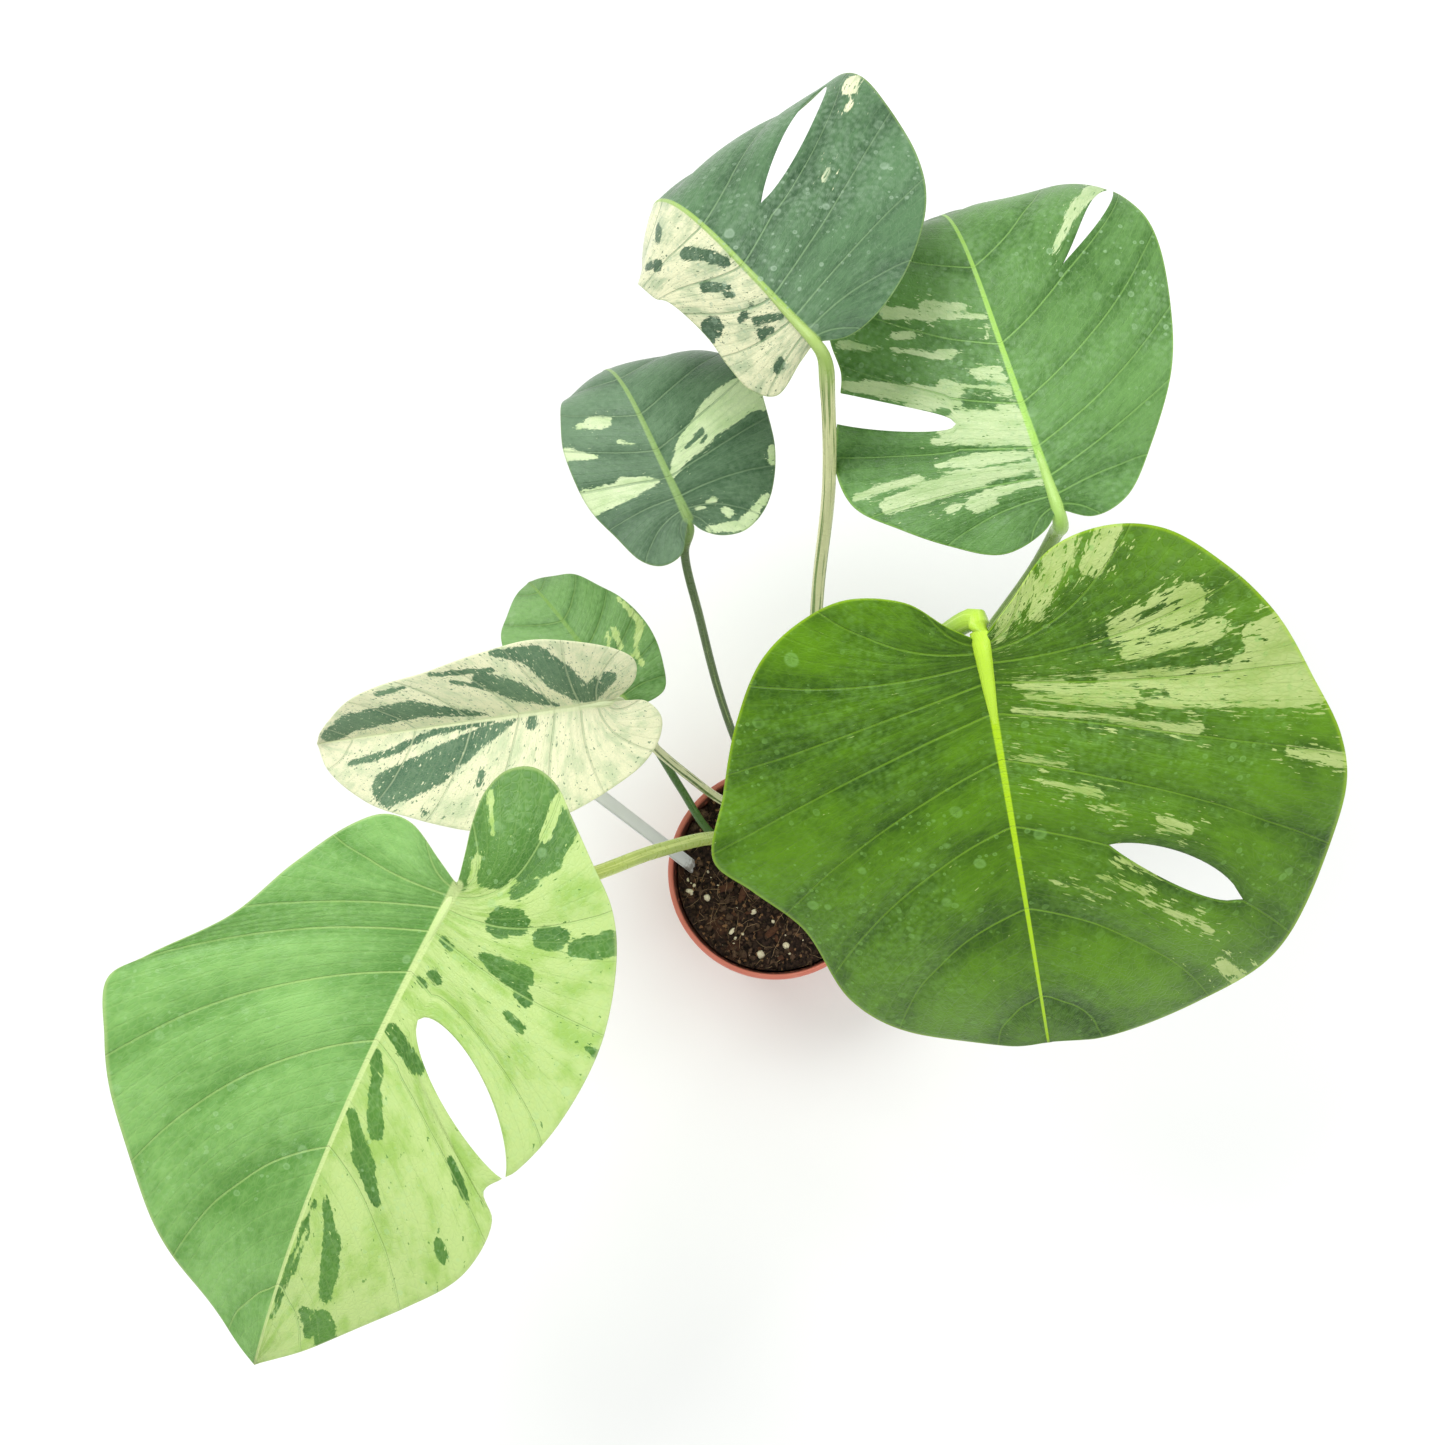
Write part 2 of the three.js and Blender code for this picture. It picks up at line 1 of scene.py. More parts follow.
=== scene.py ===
import math
import bmesh
import bpy
import numpy as np
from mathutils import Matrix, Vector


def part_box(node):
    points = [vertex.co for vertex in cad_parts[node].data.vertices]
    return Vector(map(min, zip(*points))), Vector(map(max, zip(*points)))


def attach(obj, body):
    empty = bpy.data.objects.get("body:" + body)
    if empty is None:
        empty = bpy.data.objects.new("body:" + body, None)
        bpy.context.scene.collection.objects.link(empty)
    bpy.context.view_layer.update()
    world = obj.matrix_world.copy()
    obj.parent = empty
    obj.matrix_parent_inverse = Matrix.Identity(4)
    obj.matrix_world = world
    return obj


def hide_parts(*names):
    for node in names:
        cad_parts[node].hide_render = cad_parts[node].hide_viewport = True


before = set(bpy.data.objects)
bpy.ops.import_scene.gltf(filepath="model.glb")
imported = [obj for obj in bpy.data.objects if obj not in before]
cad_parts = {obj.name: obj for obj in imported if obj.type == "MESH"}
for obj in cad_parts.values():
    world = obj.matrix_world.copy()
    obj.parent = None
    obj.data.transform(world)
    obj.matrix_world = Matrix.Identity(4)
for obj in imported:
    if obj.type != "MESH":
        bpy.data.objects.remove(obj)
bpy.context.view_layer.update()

# ---- Pot --------------------------------------------------------------------
# A thin nursery pot, injection moulded in salmon-red plastic: a tapered wall, a collar with a
# rolled edge to carry it by, and six drain holes round a plain middle.
POT_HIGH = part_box("pot")[1]
RIM_RADIUS = POT_HIGH[0]
POT_HEIGHT = POT_HIGH[2]
FOOT_RADIUS = 0.042
POT_WALL = 0.0012
POT_FLOOR = 0.0016
COLLAR_HEIGHT = 0.010
COLLAR_STEP = 0.0016
LIP = 0.0028
DRAIN_HOLES = 6
DRAIN_RADIUS = 0.004
DRAIN_CIRCLE = 0.026


def tone(code):
    """A colour written as six hex digits, turned to the linear values that shaders take."""
    parts = [int(code[i:i + 2], 16) / 255 for i in (0, 2, 4)]
    return tuple(p / 12.92 if p < 0.04045 else ((p + 0.055) / 1.055) ** 2.4 for p in parts) + (1.0,)


def put(tree, kind, inputs=None, **settings):
    """Adds a node with its settings, and links or sets its inputs by name or number."""
    made = tree.nodes.new("ShaderNode" + kind)
    for key, value in settings.items():
        setattr(made, key, value)
    for key, value in (inputs or {}).items():
        if isinstance(value, bpy.types.NodeSocket):
            tree.links.new(value, made.inputs[key])
        else:
            made.inputs[key].default_value = value
    return made


def maths(tree, operation, *values):
    """One Math node on up to three values or sockets."""
    return put(tree, "Math", dict(enumerate(values)), operation=operation).outputs[0]


def ramp(tree, value, low, high):
    """A soft step of a value: 0 below low, 1 above high."""
    inputs = {"Value": value, "From Min": low, "From Max": high}
    return put(tree, "MapRange", inputs, interpolation_type="SMOOTHSTEP").outputs[0]


def blend(tree, share, first, second):
    """Mixes two colours by a share from 0 to 1."""
    made = put(tree, "Mix", {"Factor": share}, data_type="RGBA")
    for socket, value in ((made.inputs[6], first), (made.inputs[7], second)):
        if isinstance(value, bpy.types.NodeSocket):
            tree.links.new(value, socket)
        else:
            socket.default_value = value
    return made.outputs[2]


def noise(tree, where, scale, detail=3.0, rough=0.55):
    """Fractal noise from 0 to 1 at a place."""
    inputs = {"Vector": where, "Scale": scale, "Detail": detail, "Roughness": rough}
    return put(tree, "TexNoise", inputs).outputs["Fac"]


def finish(name, roughness, colour=None, specular=0.5):
    """A new material whose Principled shader has the plain values; returns it, its tree and shader."""
    material = bpy.data.materials.new(name)
    material.use_nodes = True
    tree = material.node_tree
    shader = tree.nodes["Principled BSDF"]
    shader.inputs["Roughness"].default_value = roughness
    shader.inputs["Specular IOR Level"].default_value = specular
    if colour:
        shader.inputs["Base Color"].default_value = tone(colour)
    return material, tree, shader


def raise_bump(tree, shader, height, distance, strength=1.0):
    """Feeds a height in the given metres to the shader as fine relief."""
    inputs = {"Height": height, "Distance": distance, "Strength": strength}
    bump = put(tree, "Bump", inputs)
    tree.links.new(bump.outputs["Normal"], shader.inputs["Normal"])


def group_of(name, inputs, outputs):
    """A new node group with named inputs and outputs; returns it and its two end nodes."""
    group = bpy.data.node_groups.new(name, "ShaderNodeTree")
    for label, kind, value in inputs:
        socket = group.interface.new_socket(label, in_out="INPUT", socket_type="NodeSocket" + kind)
        if value is not None:
            socket.default_value = value
    for label, kind in outputs:
        group.interface.new_socket(label, in_out="OUTPUT", socket_type="NodeSocket" + kind)
    return group, group.nodes.new("NodeGroupInput"), group.nodes.new("NodeGroupOutput")


def use_group(tree, group, inputs):
    """A group node in a tree, with its inputs linked or set."""
    made = tree.nodes.new("ShaderNodeGroup")
    made.node_tree = group
    for key, value in inputs.items():
        if isinstance(value, bpy.types.NodeSocket):
            tree.links.new(value, made.inputs[key])
        else:
            made.inputs[key].default_value = value
    return made.outputs


def place(tree):
    """Object coordinates, in metres."""
    return put(tree, "TexCoord").outputs["Object"]


def make_piece(name, points, faces, materials, nodes=()):
    """A smooth mesh piece on the root body, standing for the named CAD nodes."""
    points = np.asarray(points, float).reshape(-1, 3)
    mesh = bpy.data.meshes.new(name)
    mesh.from_pydata(points.tolist(), [], [list(f) for f in faces])
    for material in materials:
        mesh.materials.append(material)
    mesh.shade_smooth()
    mesh.update()
    piece = bpy.data.objects.new(name, mesh)
    bpy.context.collection.objects.link(piece)
    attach(piece, "root")
    if nodes:
        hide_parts(*nodes)
    return piece


def turned(profile, sides, swell=None):
    """A profile of (radius, height) points carried once round the axis, closed at both poles.
    swell, if given, is added to the heights as a function of x and y."""
    profile = np.asarray(profile, float)
    angle = np.linspace(0, 2 * np.pi, sides, endpoint=False)
    body = profile[1:-1]
    x = body[:, 0] * np.cos(angle)[:, None]
    y = body[:, 0] * np.sin(angle)[:, None]
    z = np.broadcast_to(body[:, 1], x.shape)
    if swell is not None:
        z = z + swell(x, y, np.arange(len(body))[None, :])
    rings = np.stack([x, y, z], -1)
    poles = np.array([[0, 0, profile[0, 1]], [0, 0, profile[-1, 1]]])
    if swell is not None:
        poles[1, 2] = rings[:, -1, 2].mean()
    count = len(body)
    here = np.arange(sides)[:, None] * count + np.arange(count - 1)[None, :]
    there = (np.arange(sides)[:, None] + 1) % sides * count + np.arange(count - 1)[None, :]
    quads = np.stack([here, there, there + 1, here + 1], -1).reshape(-1, 4)
    first = np.arange(sides) * count
    after = np.roll(first, -1)
    low, high = sides * count, sides * count + 1
    faces = quads.tolist()
    faces += np.stack([np.full(sides, low), after, first], -1).tolist()
    faces += np.stack([np.full(sides, high), first + count - 1, after + count - 1], -1).tolist()
    return np.vstack([rings.reshape(-1, 3), poles]), faces


def wall_radius(z):
    """Outside radius of the plain tapered wall at a height."""
    return FOOT_RADIUS + (RIM_RADIUS - COLLAR_STEP - FOOT_RADIUS) * z / POT_HEIGHT


def inner_wall(z):
    """Inside radius of the plain wall at a height."""
    return wall_radius(z) - POT_WALL


def rounded(points):
    """A profile with each inner corner cut back twice, which rounds it (corner cutting)."""
    line = np.asarray(points, float)
    for _ in range(2):
        before, after = line[:-1], line[1:]
        cut = np.stack([0.75 * before + 0.25 * after, 0.25 * before + 0.75 * after], 1)
        line = np.vstack([line[:1], cut.reshape(-1, 2), line[-1:]])
    return line


def along_wall(start, stop, radius_at, count):
    """Points down or up a wall, so that long runs stay straight when corners are rounded."""
    return [(radius_at(z), z) for z in np.linspace(start, stop, count)]


collar_foot = POT_HEIGHT - COLLAR_HEIGHT
pot_profile = rounded(
    [(0, 0), (FOOT_RADIUS - 0.012, 0), (FOOT_RADIUS - 0.0022, 0), (FOOT_RADIUS - 0.0002, 0.002)]
    + along_wall(0.004, 0.026, wall_radius, 6)
    + [(wall_radius(0.0270) + 0.0004, 0.0275), (wall_radius(0.0290) + 0.0004, 0.0285)]
    + along_wall(0.030, collar_foot - 0.001, wall_radius, 14)
    + [(wall_radius(collar_foot) + 0.0001, collar_foot), (RIM_RADIUS - 0.0007, collar_foot + 0.0003),
       (RIM_RADIUS - 0.0003, collar_foot + 0.0012), (RIM_RADIUS - 0.0002, POT_HEIGHT - 0.0035),
       (RIM_RADIUS, POT_HEIGHT - 0.0024), (RIM_RADIUS, POT_HEIGHT - 0.0008),
       (RIM_RADIUS - 0.0006, POT_HEIGHT), (RIM_RADIUS - LIP + 0.0006, POT_HEIGHT),
       (RIM_RADIUS - LIP, POT_HEIGHT - 0.0006), (RIM_RADIUS - LIP, POT_HEIGHT - 0.0016)]
    + along_wall(collar_foot, 0.004, inner_wall, 16)
    + [(FOOT_RADIUS - POT_WALL - 0.0012, POT_FLOOR), (FOOT_RADIUS - 0.010, POT_FLOOR),
       (0, POT_FLOOR)])
pot_points, pot_faces = turned(pot_profile, 144)

pot_plastic, tree, shader = finish("pot_plastic", 0.42)
at = place(tree)
cloud = noise(tree, at, 38, 4)
scuff = noise(tree, put(tree, "Mapping", {"Vector": at, "Scale": (60, 60, 900)}).outputs[0], 1, 4)
height = put(tree, "SeparateXYZ", {0: at}).outputs["Z"]
shade = blend(tree, cloud, tone("bf6350"), tone("d87f6b"))
shade = blend(tree, maths(tree, "MULTIPLY", ramp(tree, scuff, 0.55, 0.75), 0.25), shade, tone("e09a8a"))
# The inside of the wall below the lip is darkened almost all over to a near-black brown, in fine ragged
# patches.
level_place = put(tree, "VectorMath", {0: at, 1: (1, 1, 0)}, operation="MULTIPLY").outputs["Vector"]
out_from_middle = put(tree, "VectorMath", {0: level_place}, operation="LENGTH").outputs["Value"]
wall_slope = (RIM_RADIUS - COLLAR_STEP - FOOT_RADIUS) / POT_HEIGHT
wall_here = maths(tree, "ADD", maths(tree, "MULTIPLY", height, wall_slope), FOOT_RADIUS)
inside_wall = ramp(tree, maths(tree, "SUBTRACT", wall_here, out_from_middle), 0.0006, 0.001)
below_lip = maths(tree, "SUBTRACT", 1.0, ramp(tree, height, POT_HEIGHT - 0.004, POT_HEIGHT - 0.0015))
dark_inner_wall = maths(tree, "MULTIPLY", maths(tree, "MULTIPLY", inside_wall, below_lip),
               ramp(tree, noise(tree, at, 300, 4), 0.25, 0.5))
shade = blend(tree, maths(tree, "MULTIPLY", dark_inner_wall, 0.85), shade, tone("33241b"))
grime = maths(tree, "MULTIPLY", ramp(tree, noise(tree, at, 120, 5), 0.5, 0.72),
              maths(tree, "SUBTRACT", 1.0, ramp(tree, height, POT_HEIGHT - 0.012, POT_HEIGHT - 0.003)))
shade = blend(tree, maths(tree, "MULTIPLY", grime, 0.22), shade, tone("8a4a3a"))
tree.links.new(shade, shader.inputs["Base Color"])
tree.links.new(ramp(tree, maths(tree, "ADD", cloud, maths(tree, "MULTIPLY", scuff, 0.3)), -0.6, 2.2),
               shader.inputs["Roughness"])
raise_bump(tree, shader, maths(tree, "ADD", noise(tree, at, 1400, 2), scuff), 0.00006)

pot = make_piece("nursery_pot", pot_points, pot_faces, [pot_plastic], ["pot"])


def drill(piece, places, radius, low, high, sides=32):
    """Cuts upright round holes through a piece and keeps the result as its mesh."""
    cutter = bmesh.new()
    for x, y in places:
        made = bmesh.ops.create_cone(cutter, cap_ends=True, segments=sides, radius1=radius,
                                     radius2=radius, depth=high - low)
        bmesh.ops.translate(cutter, verts=made["verts"], vec=(x, y, (low + high) / 2))
    mesh = bpy.data.meshes.new("drill")
    cutter.to_mesh(mesh)
    cutter.free()
    tool = bpy.data.objects.new("drill", mesh)
    bpy.context.collection.objects.link(tool)
    cut = piece.modifiers.new("holes", "BOOLEAN")
    cut.object = tool
    cut.solver = "EXACT"
    graph = bpy.context.evaluated_depsgraph_get()
    result = bpy.data.meshes.new_from_object(piece.evaluated_get(graph))
    piece.modifiers.remove(cut)
    piece.data = result
    bpy.data.objects.remove(tool)
    bpy.data.meshes.remove(mesh)


turn = 2 * np.pi * np.arange(DRAIN_HOLES) / DRAIN_HOLES
drill(pot, zip(DRAIN_CIRCLE * np.cos(turn), DRAIN_CIRCLE * np.sin(turn)), DRAIN_RADIUS,
      -0.001, POT_FLOOR + 0.0008)

# ---- Soil -------------------------------------------------------------------
# A loose mix of dark peat with coir fibre, filled to just under the rim and settled by watering,
# so its top is lumpy and stands a little higher against the wall.
SOIL_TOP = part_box("soil")[1][2]
SOIL_RADIUS = RIM_RADIUS - LIP - 0.0006
SOIL_GAP = 0.0004
STEM_PLACE = (0.004, 0.006)


def lattice(x, y, cell, seed):
    """Smooth random height from -1 to 1: values on a square lattice, eased between its corners."""
    values = np.random.RandomState(seed).uniform(-1, 1, (97, 97))
    u, v = np.asarray(x) / cell + 48.5, np.asarray(y) / cell + 48.5
    i, j = np.clip(u.astype(int), 0, 95), np.clip(v.astype(int), 0, 95)
    a, b = u - i, v - j
    a, b = a * a * (3 - 2 * a), b * b * (3 - 2 * b)
    low = values[i, j] * (1 - a) + values[i + 1, j] * a
    high = values[i, j + 1] * (1 - a) + values[i + 1, j + 1] * a
    return low * (1 - b) + high * b


def soil_height(x, y):
    """The lumpy top: three sizes of lump, a slight heap at the stem and a low bank at the wall."""
    out = np.hypot(x, y) / SOIL_RADIUS
    heap = 0.0022 * np.exp(-((x - STEM_PLACE[0]) ** 2 + (y - STEM_PLACE[1]) ** 2) / 0.0004)
    lumps = (0.0011 * lattice(x, y, 0.011, 3) + 0.0008 * lattice(x, y, 0.0048, 4)
             + 0.0005 * lattice(x, y, 0.0022, 5) + 0.0003 * lattice(x, y, 0.0012, 6))
    return SOIL_TOP + heap + lumps + 0.0012 * np.clip(out - 0.8, 0, 1) / 0.2 * out


def soil_side(z):
    """Outside radius of the soil at a height, a small gap inside the wall."""
    return inner_wall(z) - SOIL_GAP


top_radii = np.linspace(SOIL_RADIUS, 0.0006, 110)
side_profile = [(0, 0.0019), (0.030, 0.0019), (FOOT_RADIUS - 0.003, 0.0019)]
side_profile += along_wall(0.005, SOIL_TOP - 0.006, soil_side, 12)
soil_profile = np.vstack([side_profile, np.column_stack([top_radii, 0 * top_radii]), [[0, 0]]])
sides_count = len(side_profile)
soil_profile[sides_count:, 0] *= soil_side(SOIL_TOP - 0.004) / SOIL_RADIUS


def soil_swell(x, y, index):
    """Adds the lumpy top to the profile points that belong to it."""
    return np.where(index >= sides_count - 1, soil_height(x, y), 0.0)


soil_points, soil_faces = turned(soil_profile, 260, soil_swell)

peat, tree, shader = finish("peat", 0.95, specular=0.2)
at = place(tree)
grain = noise(tree, at, 420, 6, 0.7)
patch = noise(tree, at, 90, 3)
shade = blend(tree, ramp(tree, grain, 0.35, 0.7), tone("100b08"), tone("423128"))
shade = blend(tree, maths(tree, "MULTIPLY", ramp(tree, patch, 0.5, 0.7), 0.5), shade, tone("5a3a28"))
flake = put(tree, "TexVoronoi", {"Vector": at, "Scale": 700.0}).outputs["Color"]
flake = ramp(tree, put(tree, "SeparateColor", {0: flake}).outputs[0], 0.93, 0.97)
shade = blend(tree, maths(tree, "MULTIPLY", flake, 0.7), shade, tone("9a7350"))
tree.links.new(shade, shader.inputs["Base Color"])
raise_bump(tree, shader, maths(tree, "ADD", grain, patch), 0.0012)

make_piece("soil_body", soil_points, soil_faces, [peat], ["soil"])


# ---- Crumbs of peat, perlite and bark ---------------------------------------
# What lies loose on the soil: small peat crumbs, white expanded perlite grains and dark chips of
# bark. They were mixed in with the peat and washed to the top by watering.
def pebbles(centres, sizes, seed, flat, jag, detail=1):
    """Many lumps at once: a ball of triangles for each centre, turned at random, flattened, and
    pushed in and out by a few random planes."""
    ball = bmesh.new()
    bmesh.ops.create_icosphere(ball, subdivisions=detail, radius=1.0)
    shape = np.array([v.co for v in ball.verts])
    faces = np.array([[v.index for v in f.verts] for f in ball.faces])
    ball.free()
    random = np.random.RandomState(seed)
    count = len(centres)
    planes = random.normal(size=(count, 7, 3))
    planes /= np.linalg.norm(planes, axis=-1, keepdims=True)
    reach = random.uniform(1 - jag, 1, (count, 7))
    facing = np.einsum("vk,npk->nvp", shape, planes)
    limit = np.min(np.where(facing > 0.15, reach[:, None, :] / np.maximum(facing, 0.15), 9), -1)
    points = shape[None] * np.minimum(limit, 1.25)[..., None]
    points *= random.uniform(0.65, 1.15, (count, 1, 3))
    spin = random.uniform(0, 2 * np.pi, count)
    c, s = np.cos(spin)[:, None], np.sin(spin)[:, None]
    x, y, z = points[..., 0], points[..., 1], points[..., 2] * flat
    points = np.stack([c * x - s * y, s * x + c * y, z], -1) * np.asarray(sizes)[:, None, None]
    points += np.asarray(centres)[:, None, :]
    faces = faces[None] + (np.arange(count) * len(shape))[:, None, None]
    return points.reshape(-1, 3), faces.reshape(-1, 3)


def scatter(count, seed, reach, keep_off=0.0105):
    """Even random places on the soil inside a radius, clear of the stem."""
    random = np.random.RandomState(seed)
    radius = reach * np.sqrt(random.uniform(0, 1, count * 2))
    angle = random.uniform(0, 2 * np.pi, count * 2)
    x, y = radius * np.cos(angle), radius * np.sin(angle)
    clear = np.hypot(x - STEM_PLACE[0], y - STEM_PLACE[1]) > keep_off
    return x[clear][:count], y[clear][:count]


def on_soil(x, y, sunk):
    """Places on the soil's lumpy top, sunk by a depth."""
    return np.column_stack([x, y, soil_height(x, y) - sunk])


crumb_x, crumb_y = scatter(900, 11, 0.0535)
crumb_size = np.random.RandomState(12).gamma(2.2, 0.00042, len(crumb_x)) + 0.0005
crumb_points, crumb_faces = pebbles(on_soil(crumb_x, crumb_y, -0.15 * crumb_size), crumb_size, 13, 0.8, 0.5)
crumb_skin, tree, shader = finish("peat_crumb", 0.97, specular=0.15)
at = place(tree)
lump = put(tree, "TexVoronoi", {"Vector": at, "Scale": 260.0}).outputs["Color"]
lump = put(tree, "SeparateColor", {0: lump}).outputs[1]
shade = blend(tree, lump, tone("140e0b"), tone("66503f"))
shade = blend(tree, ramp(tree, noise(tree, at, 900, 4), 0.45, 0.8), shade, tone("2a1c13"))
tree.links.new(shade, shader.inputs["Base Color"])
raise_bump(tree, shader, noise(tree, at, 1800, 4), 0.0004)
make_piece("peat_crumbs", crumb_points, crumb_faces, [crumb_skin])

LARGE_GRAINS = np.array([
    [-38, -14, 1.9], [-24, -33, 1.7], [-12, -22, 1.8], [-33, 17, 1.6], [6, -41, 1.8], [-8, -46, 1.9],
    [18, -30, 1.7], [33, -20, 1.9], [38, 20, 1.8], [12, 42, 1.9], [-16, 44, 1.9], [-48, -10, 1.8],
]) * 0.001
grain_x, grain_y = scatter(64, 21, 0.0525)
grain_size = np.random.RandomState(22).uniform(0.0004, 0.0012, len(grain_x))
grain_x = np.append(LARGE_GRAINS[:, 0], grain_x)
grain_y = np.append(LARGE_GRAINS[:, 1], grain_y)
grain_size = np.append(LARGE_GRAINS[:, 2] * 1.05, grain_size)
grain_points, grain_faces = pebbles(
    on_soil(grain_x, grain_y, -0.35 * grain_size), grain_size, 23, 0.85, 0.35, detail=2)
perlite, tree, shader = finish("perlite_grain", 0.9, specular=0.25)
at = place(tree)
pore = put(tree, "TexVoronoi", {"Vector": at, "Scale": 1500.0}, feature="DISTANCE_TO_EDGE").outputs[0]
shade = blend(tree, noise(tree, at, 300, 4), tone("d8c9a0"), tone("fff6da"))
stain = ramp(tree, noise(tree, at, 700, 3), 0.55, 0.75)
shade = blend(tree, maths(tree, "MULTIPLY", stain, 0.5), shade, tone("8a745a"))
tree.links.new(shade, shader.inputs["Base Color"])
raise_bump(tree, shader, maths(tree, "ADD", pore, noise(tree, at, 1300, 3)), 0.0005)
make_piece("perlite_grains", grain_points, grain_faces, [perlite],
           [f"perlite_{i + 1}" for i in range(len(LARGE_GRAINS))])

LARGE_CHIPS = np.array([
    [-27, -8, 20], [-18, -12, 75], [9, -24, 130], [-2, -33, 40], [27, 35, 100], [44, -4, 160],
], float)
CHIP_SIZE = (0.009, 0.004, 0.0022)


def chips(x, y, turns, lengths, widths, heights, seed):
    """Split flakes of bark: a grid along and across each chip, with ragged ends and a bowed,
    grooved top, closed below by the same grid pressed flat."""
    random = np.random.RandomState(seed)
    u, v = np.meshgrid(np.linspace(-1, 1, 9), np.linspace(-1, 1, 5), indexing="ij")
    count = len(x)
    ragged = 1 + random.uniform(-0.22, 0.18, (count, 1, 5))
    taper = 1 - 0.35 * np.abs(u)[None] ** 2 * random.uniform(0.3, 1.5, (count, 1, 1))
    along = u[None] * ragged * lengths[:, None, None] / 2
    across = v[None] * taper * widths[:, None, None] / 2
    groove = random.uniform(-0.25, 0.25, (count, 9, 5))
    bow = (1 - 0.6 * v[None] ** 2) * (1 - 0.4 * u[None] ** 2)
    top = heights[:, None, None] * (bow + groove)
    rim = (np.abs(u) > 0.99) | (np.abs(v) > 0.99)
    top = np.where(rim[None], 0.35 * heights[:, None, None], top)
    c, s = np.cos(turns)[:, None, None], np.sin(turns)[:, None, None]
    ground = soil_height(x, y)[:, None, None]
    px, py = c * along - s * across + x[:, None, None], s * along + c * across + y[:, None, None]
    upper = np.stack([px, py, ground + top], -1)
    lower = np.stack([px, py, np.broadcast_to(ground - 0.0006, px.shape)], -1)
    points = np.stack([upper, lower], 1).reshape(count, 90, 3)
    i, j = np.meshgrid(np.arange(8), np.arange(4), indexing="ij")
    a = (i * 5 + j).ravel()
    sheet = np.stack([a, a + 5, a + 6, a + 1], -1)
    ring = np.concatenate([np.arange(0, 5), np.arange(9, 45, 5), np.arange(43, 39, -1), np.arange(35, 0, -5)])
    after = np.roll(ring, -1)
    wall = np.stack([ring, ring + 45, after + 45, after], -1)
    faces = np.vstack([sheet, sheet[:, ::-1] + 45, wall[:, ::-1]])
    return points.reshape(-1, 3), (faces[None] + 90 * np.arange(count)[:, None, None]).reshape(-1, 4)


chip_x, chip_y = scatter(26, 31, 0.050)
random = np.random.RandomState(32)
chip_turn = np.append(np.radians(LARGE_CHIPS[:, 2]), random.uniform(0, np.pi, len(chip_x)))
chip_length = np.append(np.full(len(LARGE_CHIPS), CHIP_SIZE[0]), random.uniform(0.003, 0.0075, len(chip_x)))
chip_width = np.append(np.full(len(LARGE_CHIPS), CHIP_SIZE[1]), random.uniform(0.0012, 0.003, len(chip_x)))
chip_height = np.append(np.full(len(LARGE_CHIPS), CHIP_SIZE[2]), random.uniform(0.0006, 0.0014, len(chip_x)))
chip_x = np.append(LARGE_CHIPS[:, 0] * 0.001, chip_x)
chip_y = np.append(LARGE_CHIPS[:, 1] * 0.001, chip_y)
chip_points, chip_faces = chips(chip_x, chip_y, chip_turn, chip_length, chip_width, chip_height, 33)
bark, tree, shader = finish("bark_chip", 0.9, specular=0.25)
at = place(tree)
streak = noise(tree, put(tree, "Mapping", {"Vector": at, "Scale": (250, 900, 900)}).outputs[0], 1, 4)
shade = blend(tree, streak, tone("2e1c14"), tone("6b4630"))
tree.links.new(shade, shader.inputs["Base Color"])
raise_bump(tree, shader, streak, 0.0006)
make_piece("bark_chips", chip_points, chip_faces, [bark],
           [f"bark_chip_{i + 1}" for i in range(len(LARGE_CHIPS))])


# ---- Coir fibres ------------------------------------------------------------
# Fine tan hairs of coconut fibre and root that stick out of the peat in loose curves.
def tubes(paths, radii, sides):
    """Thin tubes along many paths at once: a ring of points round each path point, with the ring's
    plane across the path. Both ends are left open."""
    ahead = np.gradient(paths, axis=1)
    ahead /= np.linalg.norm(ahead, axis=-1, keepdims=True)
    side = np.cross(ahead, [0.31, 0.17, 0.93])
    side /= np.linalg.norm(side, axis=-1, keepdims=True)
    up = np.cross(side, ahead)
    angle = np.linspace(0, 2 * np.pi, sides, endpoint=False)[:, None]
    ring = np.cos(angle) * side[:, :, None] + np.sin(angle) * up[:, :, None]
    points = paths[:, :, None] + ring * radii[:, :, None, None]
    count, steps = paths.shape[:2]
    i = np.arange(steps - 1)[:, None] * sides
    j = np.arange(sides)[None, :]
    k = (j + 1) % sides
    faces = np.stack([i + j, i + k, i + sides + k, i + sides + j], -1).reshape(-1, 4)[:, ::-1]
    faces = faces[None] + (np.arange(count) * steps * sides)[:, None, None]
    return points.reshape(-1, 3), faces.reshape(-1, 4)


random = np.random.RandomState(41)
fibre_x, fibre_y = scatter(230, 42, 0.049)
heading = random.uniform(0, 2 * np.pi, len(fibre_x))
bends = random.uniform(-1, 1, (len(fibre_x), 10)).cumsum(1) * 0.35 + heading[:, None]
step = random.uniform(0.0006, 0.0019, (len(fibre_x), 1))
path_x = np.clip(fibre_x[:, None] + (np.cos(bends) * step).cumsum(1), -0.054, 0.054)
path_y = fibre_y[:, None] + (np.sin(bends) * step).cumsum(1)
outside = np.maximum(np.hypot(path_x, path_y) / 0.0545, 1)
path_x, path_y = path_x / outside, path_y / outside
lift = np.sin(np.linspace(0, np.pi, 10))[None] * random.uniform(0.0002, 0.0028, (len(fibre_x), 1))
fibre_paths = np.stack([path_x, path_y, soil_height(path_x, path_y) + lift - 0.0001], -1)
thin = np.sin(np.linspace(0.12, np.pi - 0.12, 10))[None] ** 0.5
fibre_radii = thin * random.uniform(0.00005, 0.00017, (len(fibre_x), 1))
fibre_points, fibre_faces = tubes(fibre_paths, fibre_radii, 5)
coir, tree, shader = finish("coir_fibre", 0.8, specular=0.3)
at = place(tree)
shade = blend(tree, noise(tree, at, 160, 3), tone("4a3524"), tone("b99a74"))
tree.links.new(shade, shader.inputs["Base Color"])
make_piece("coir_fibres", fibre_points, fibre_faces, [coir])

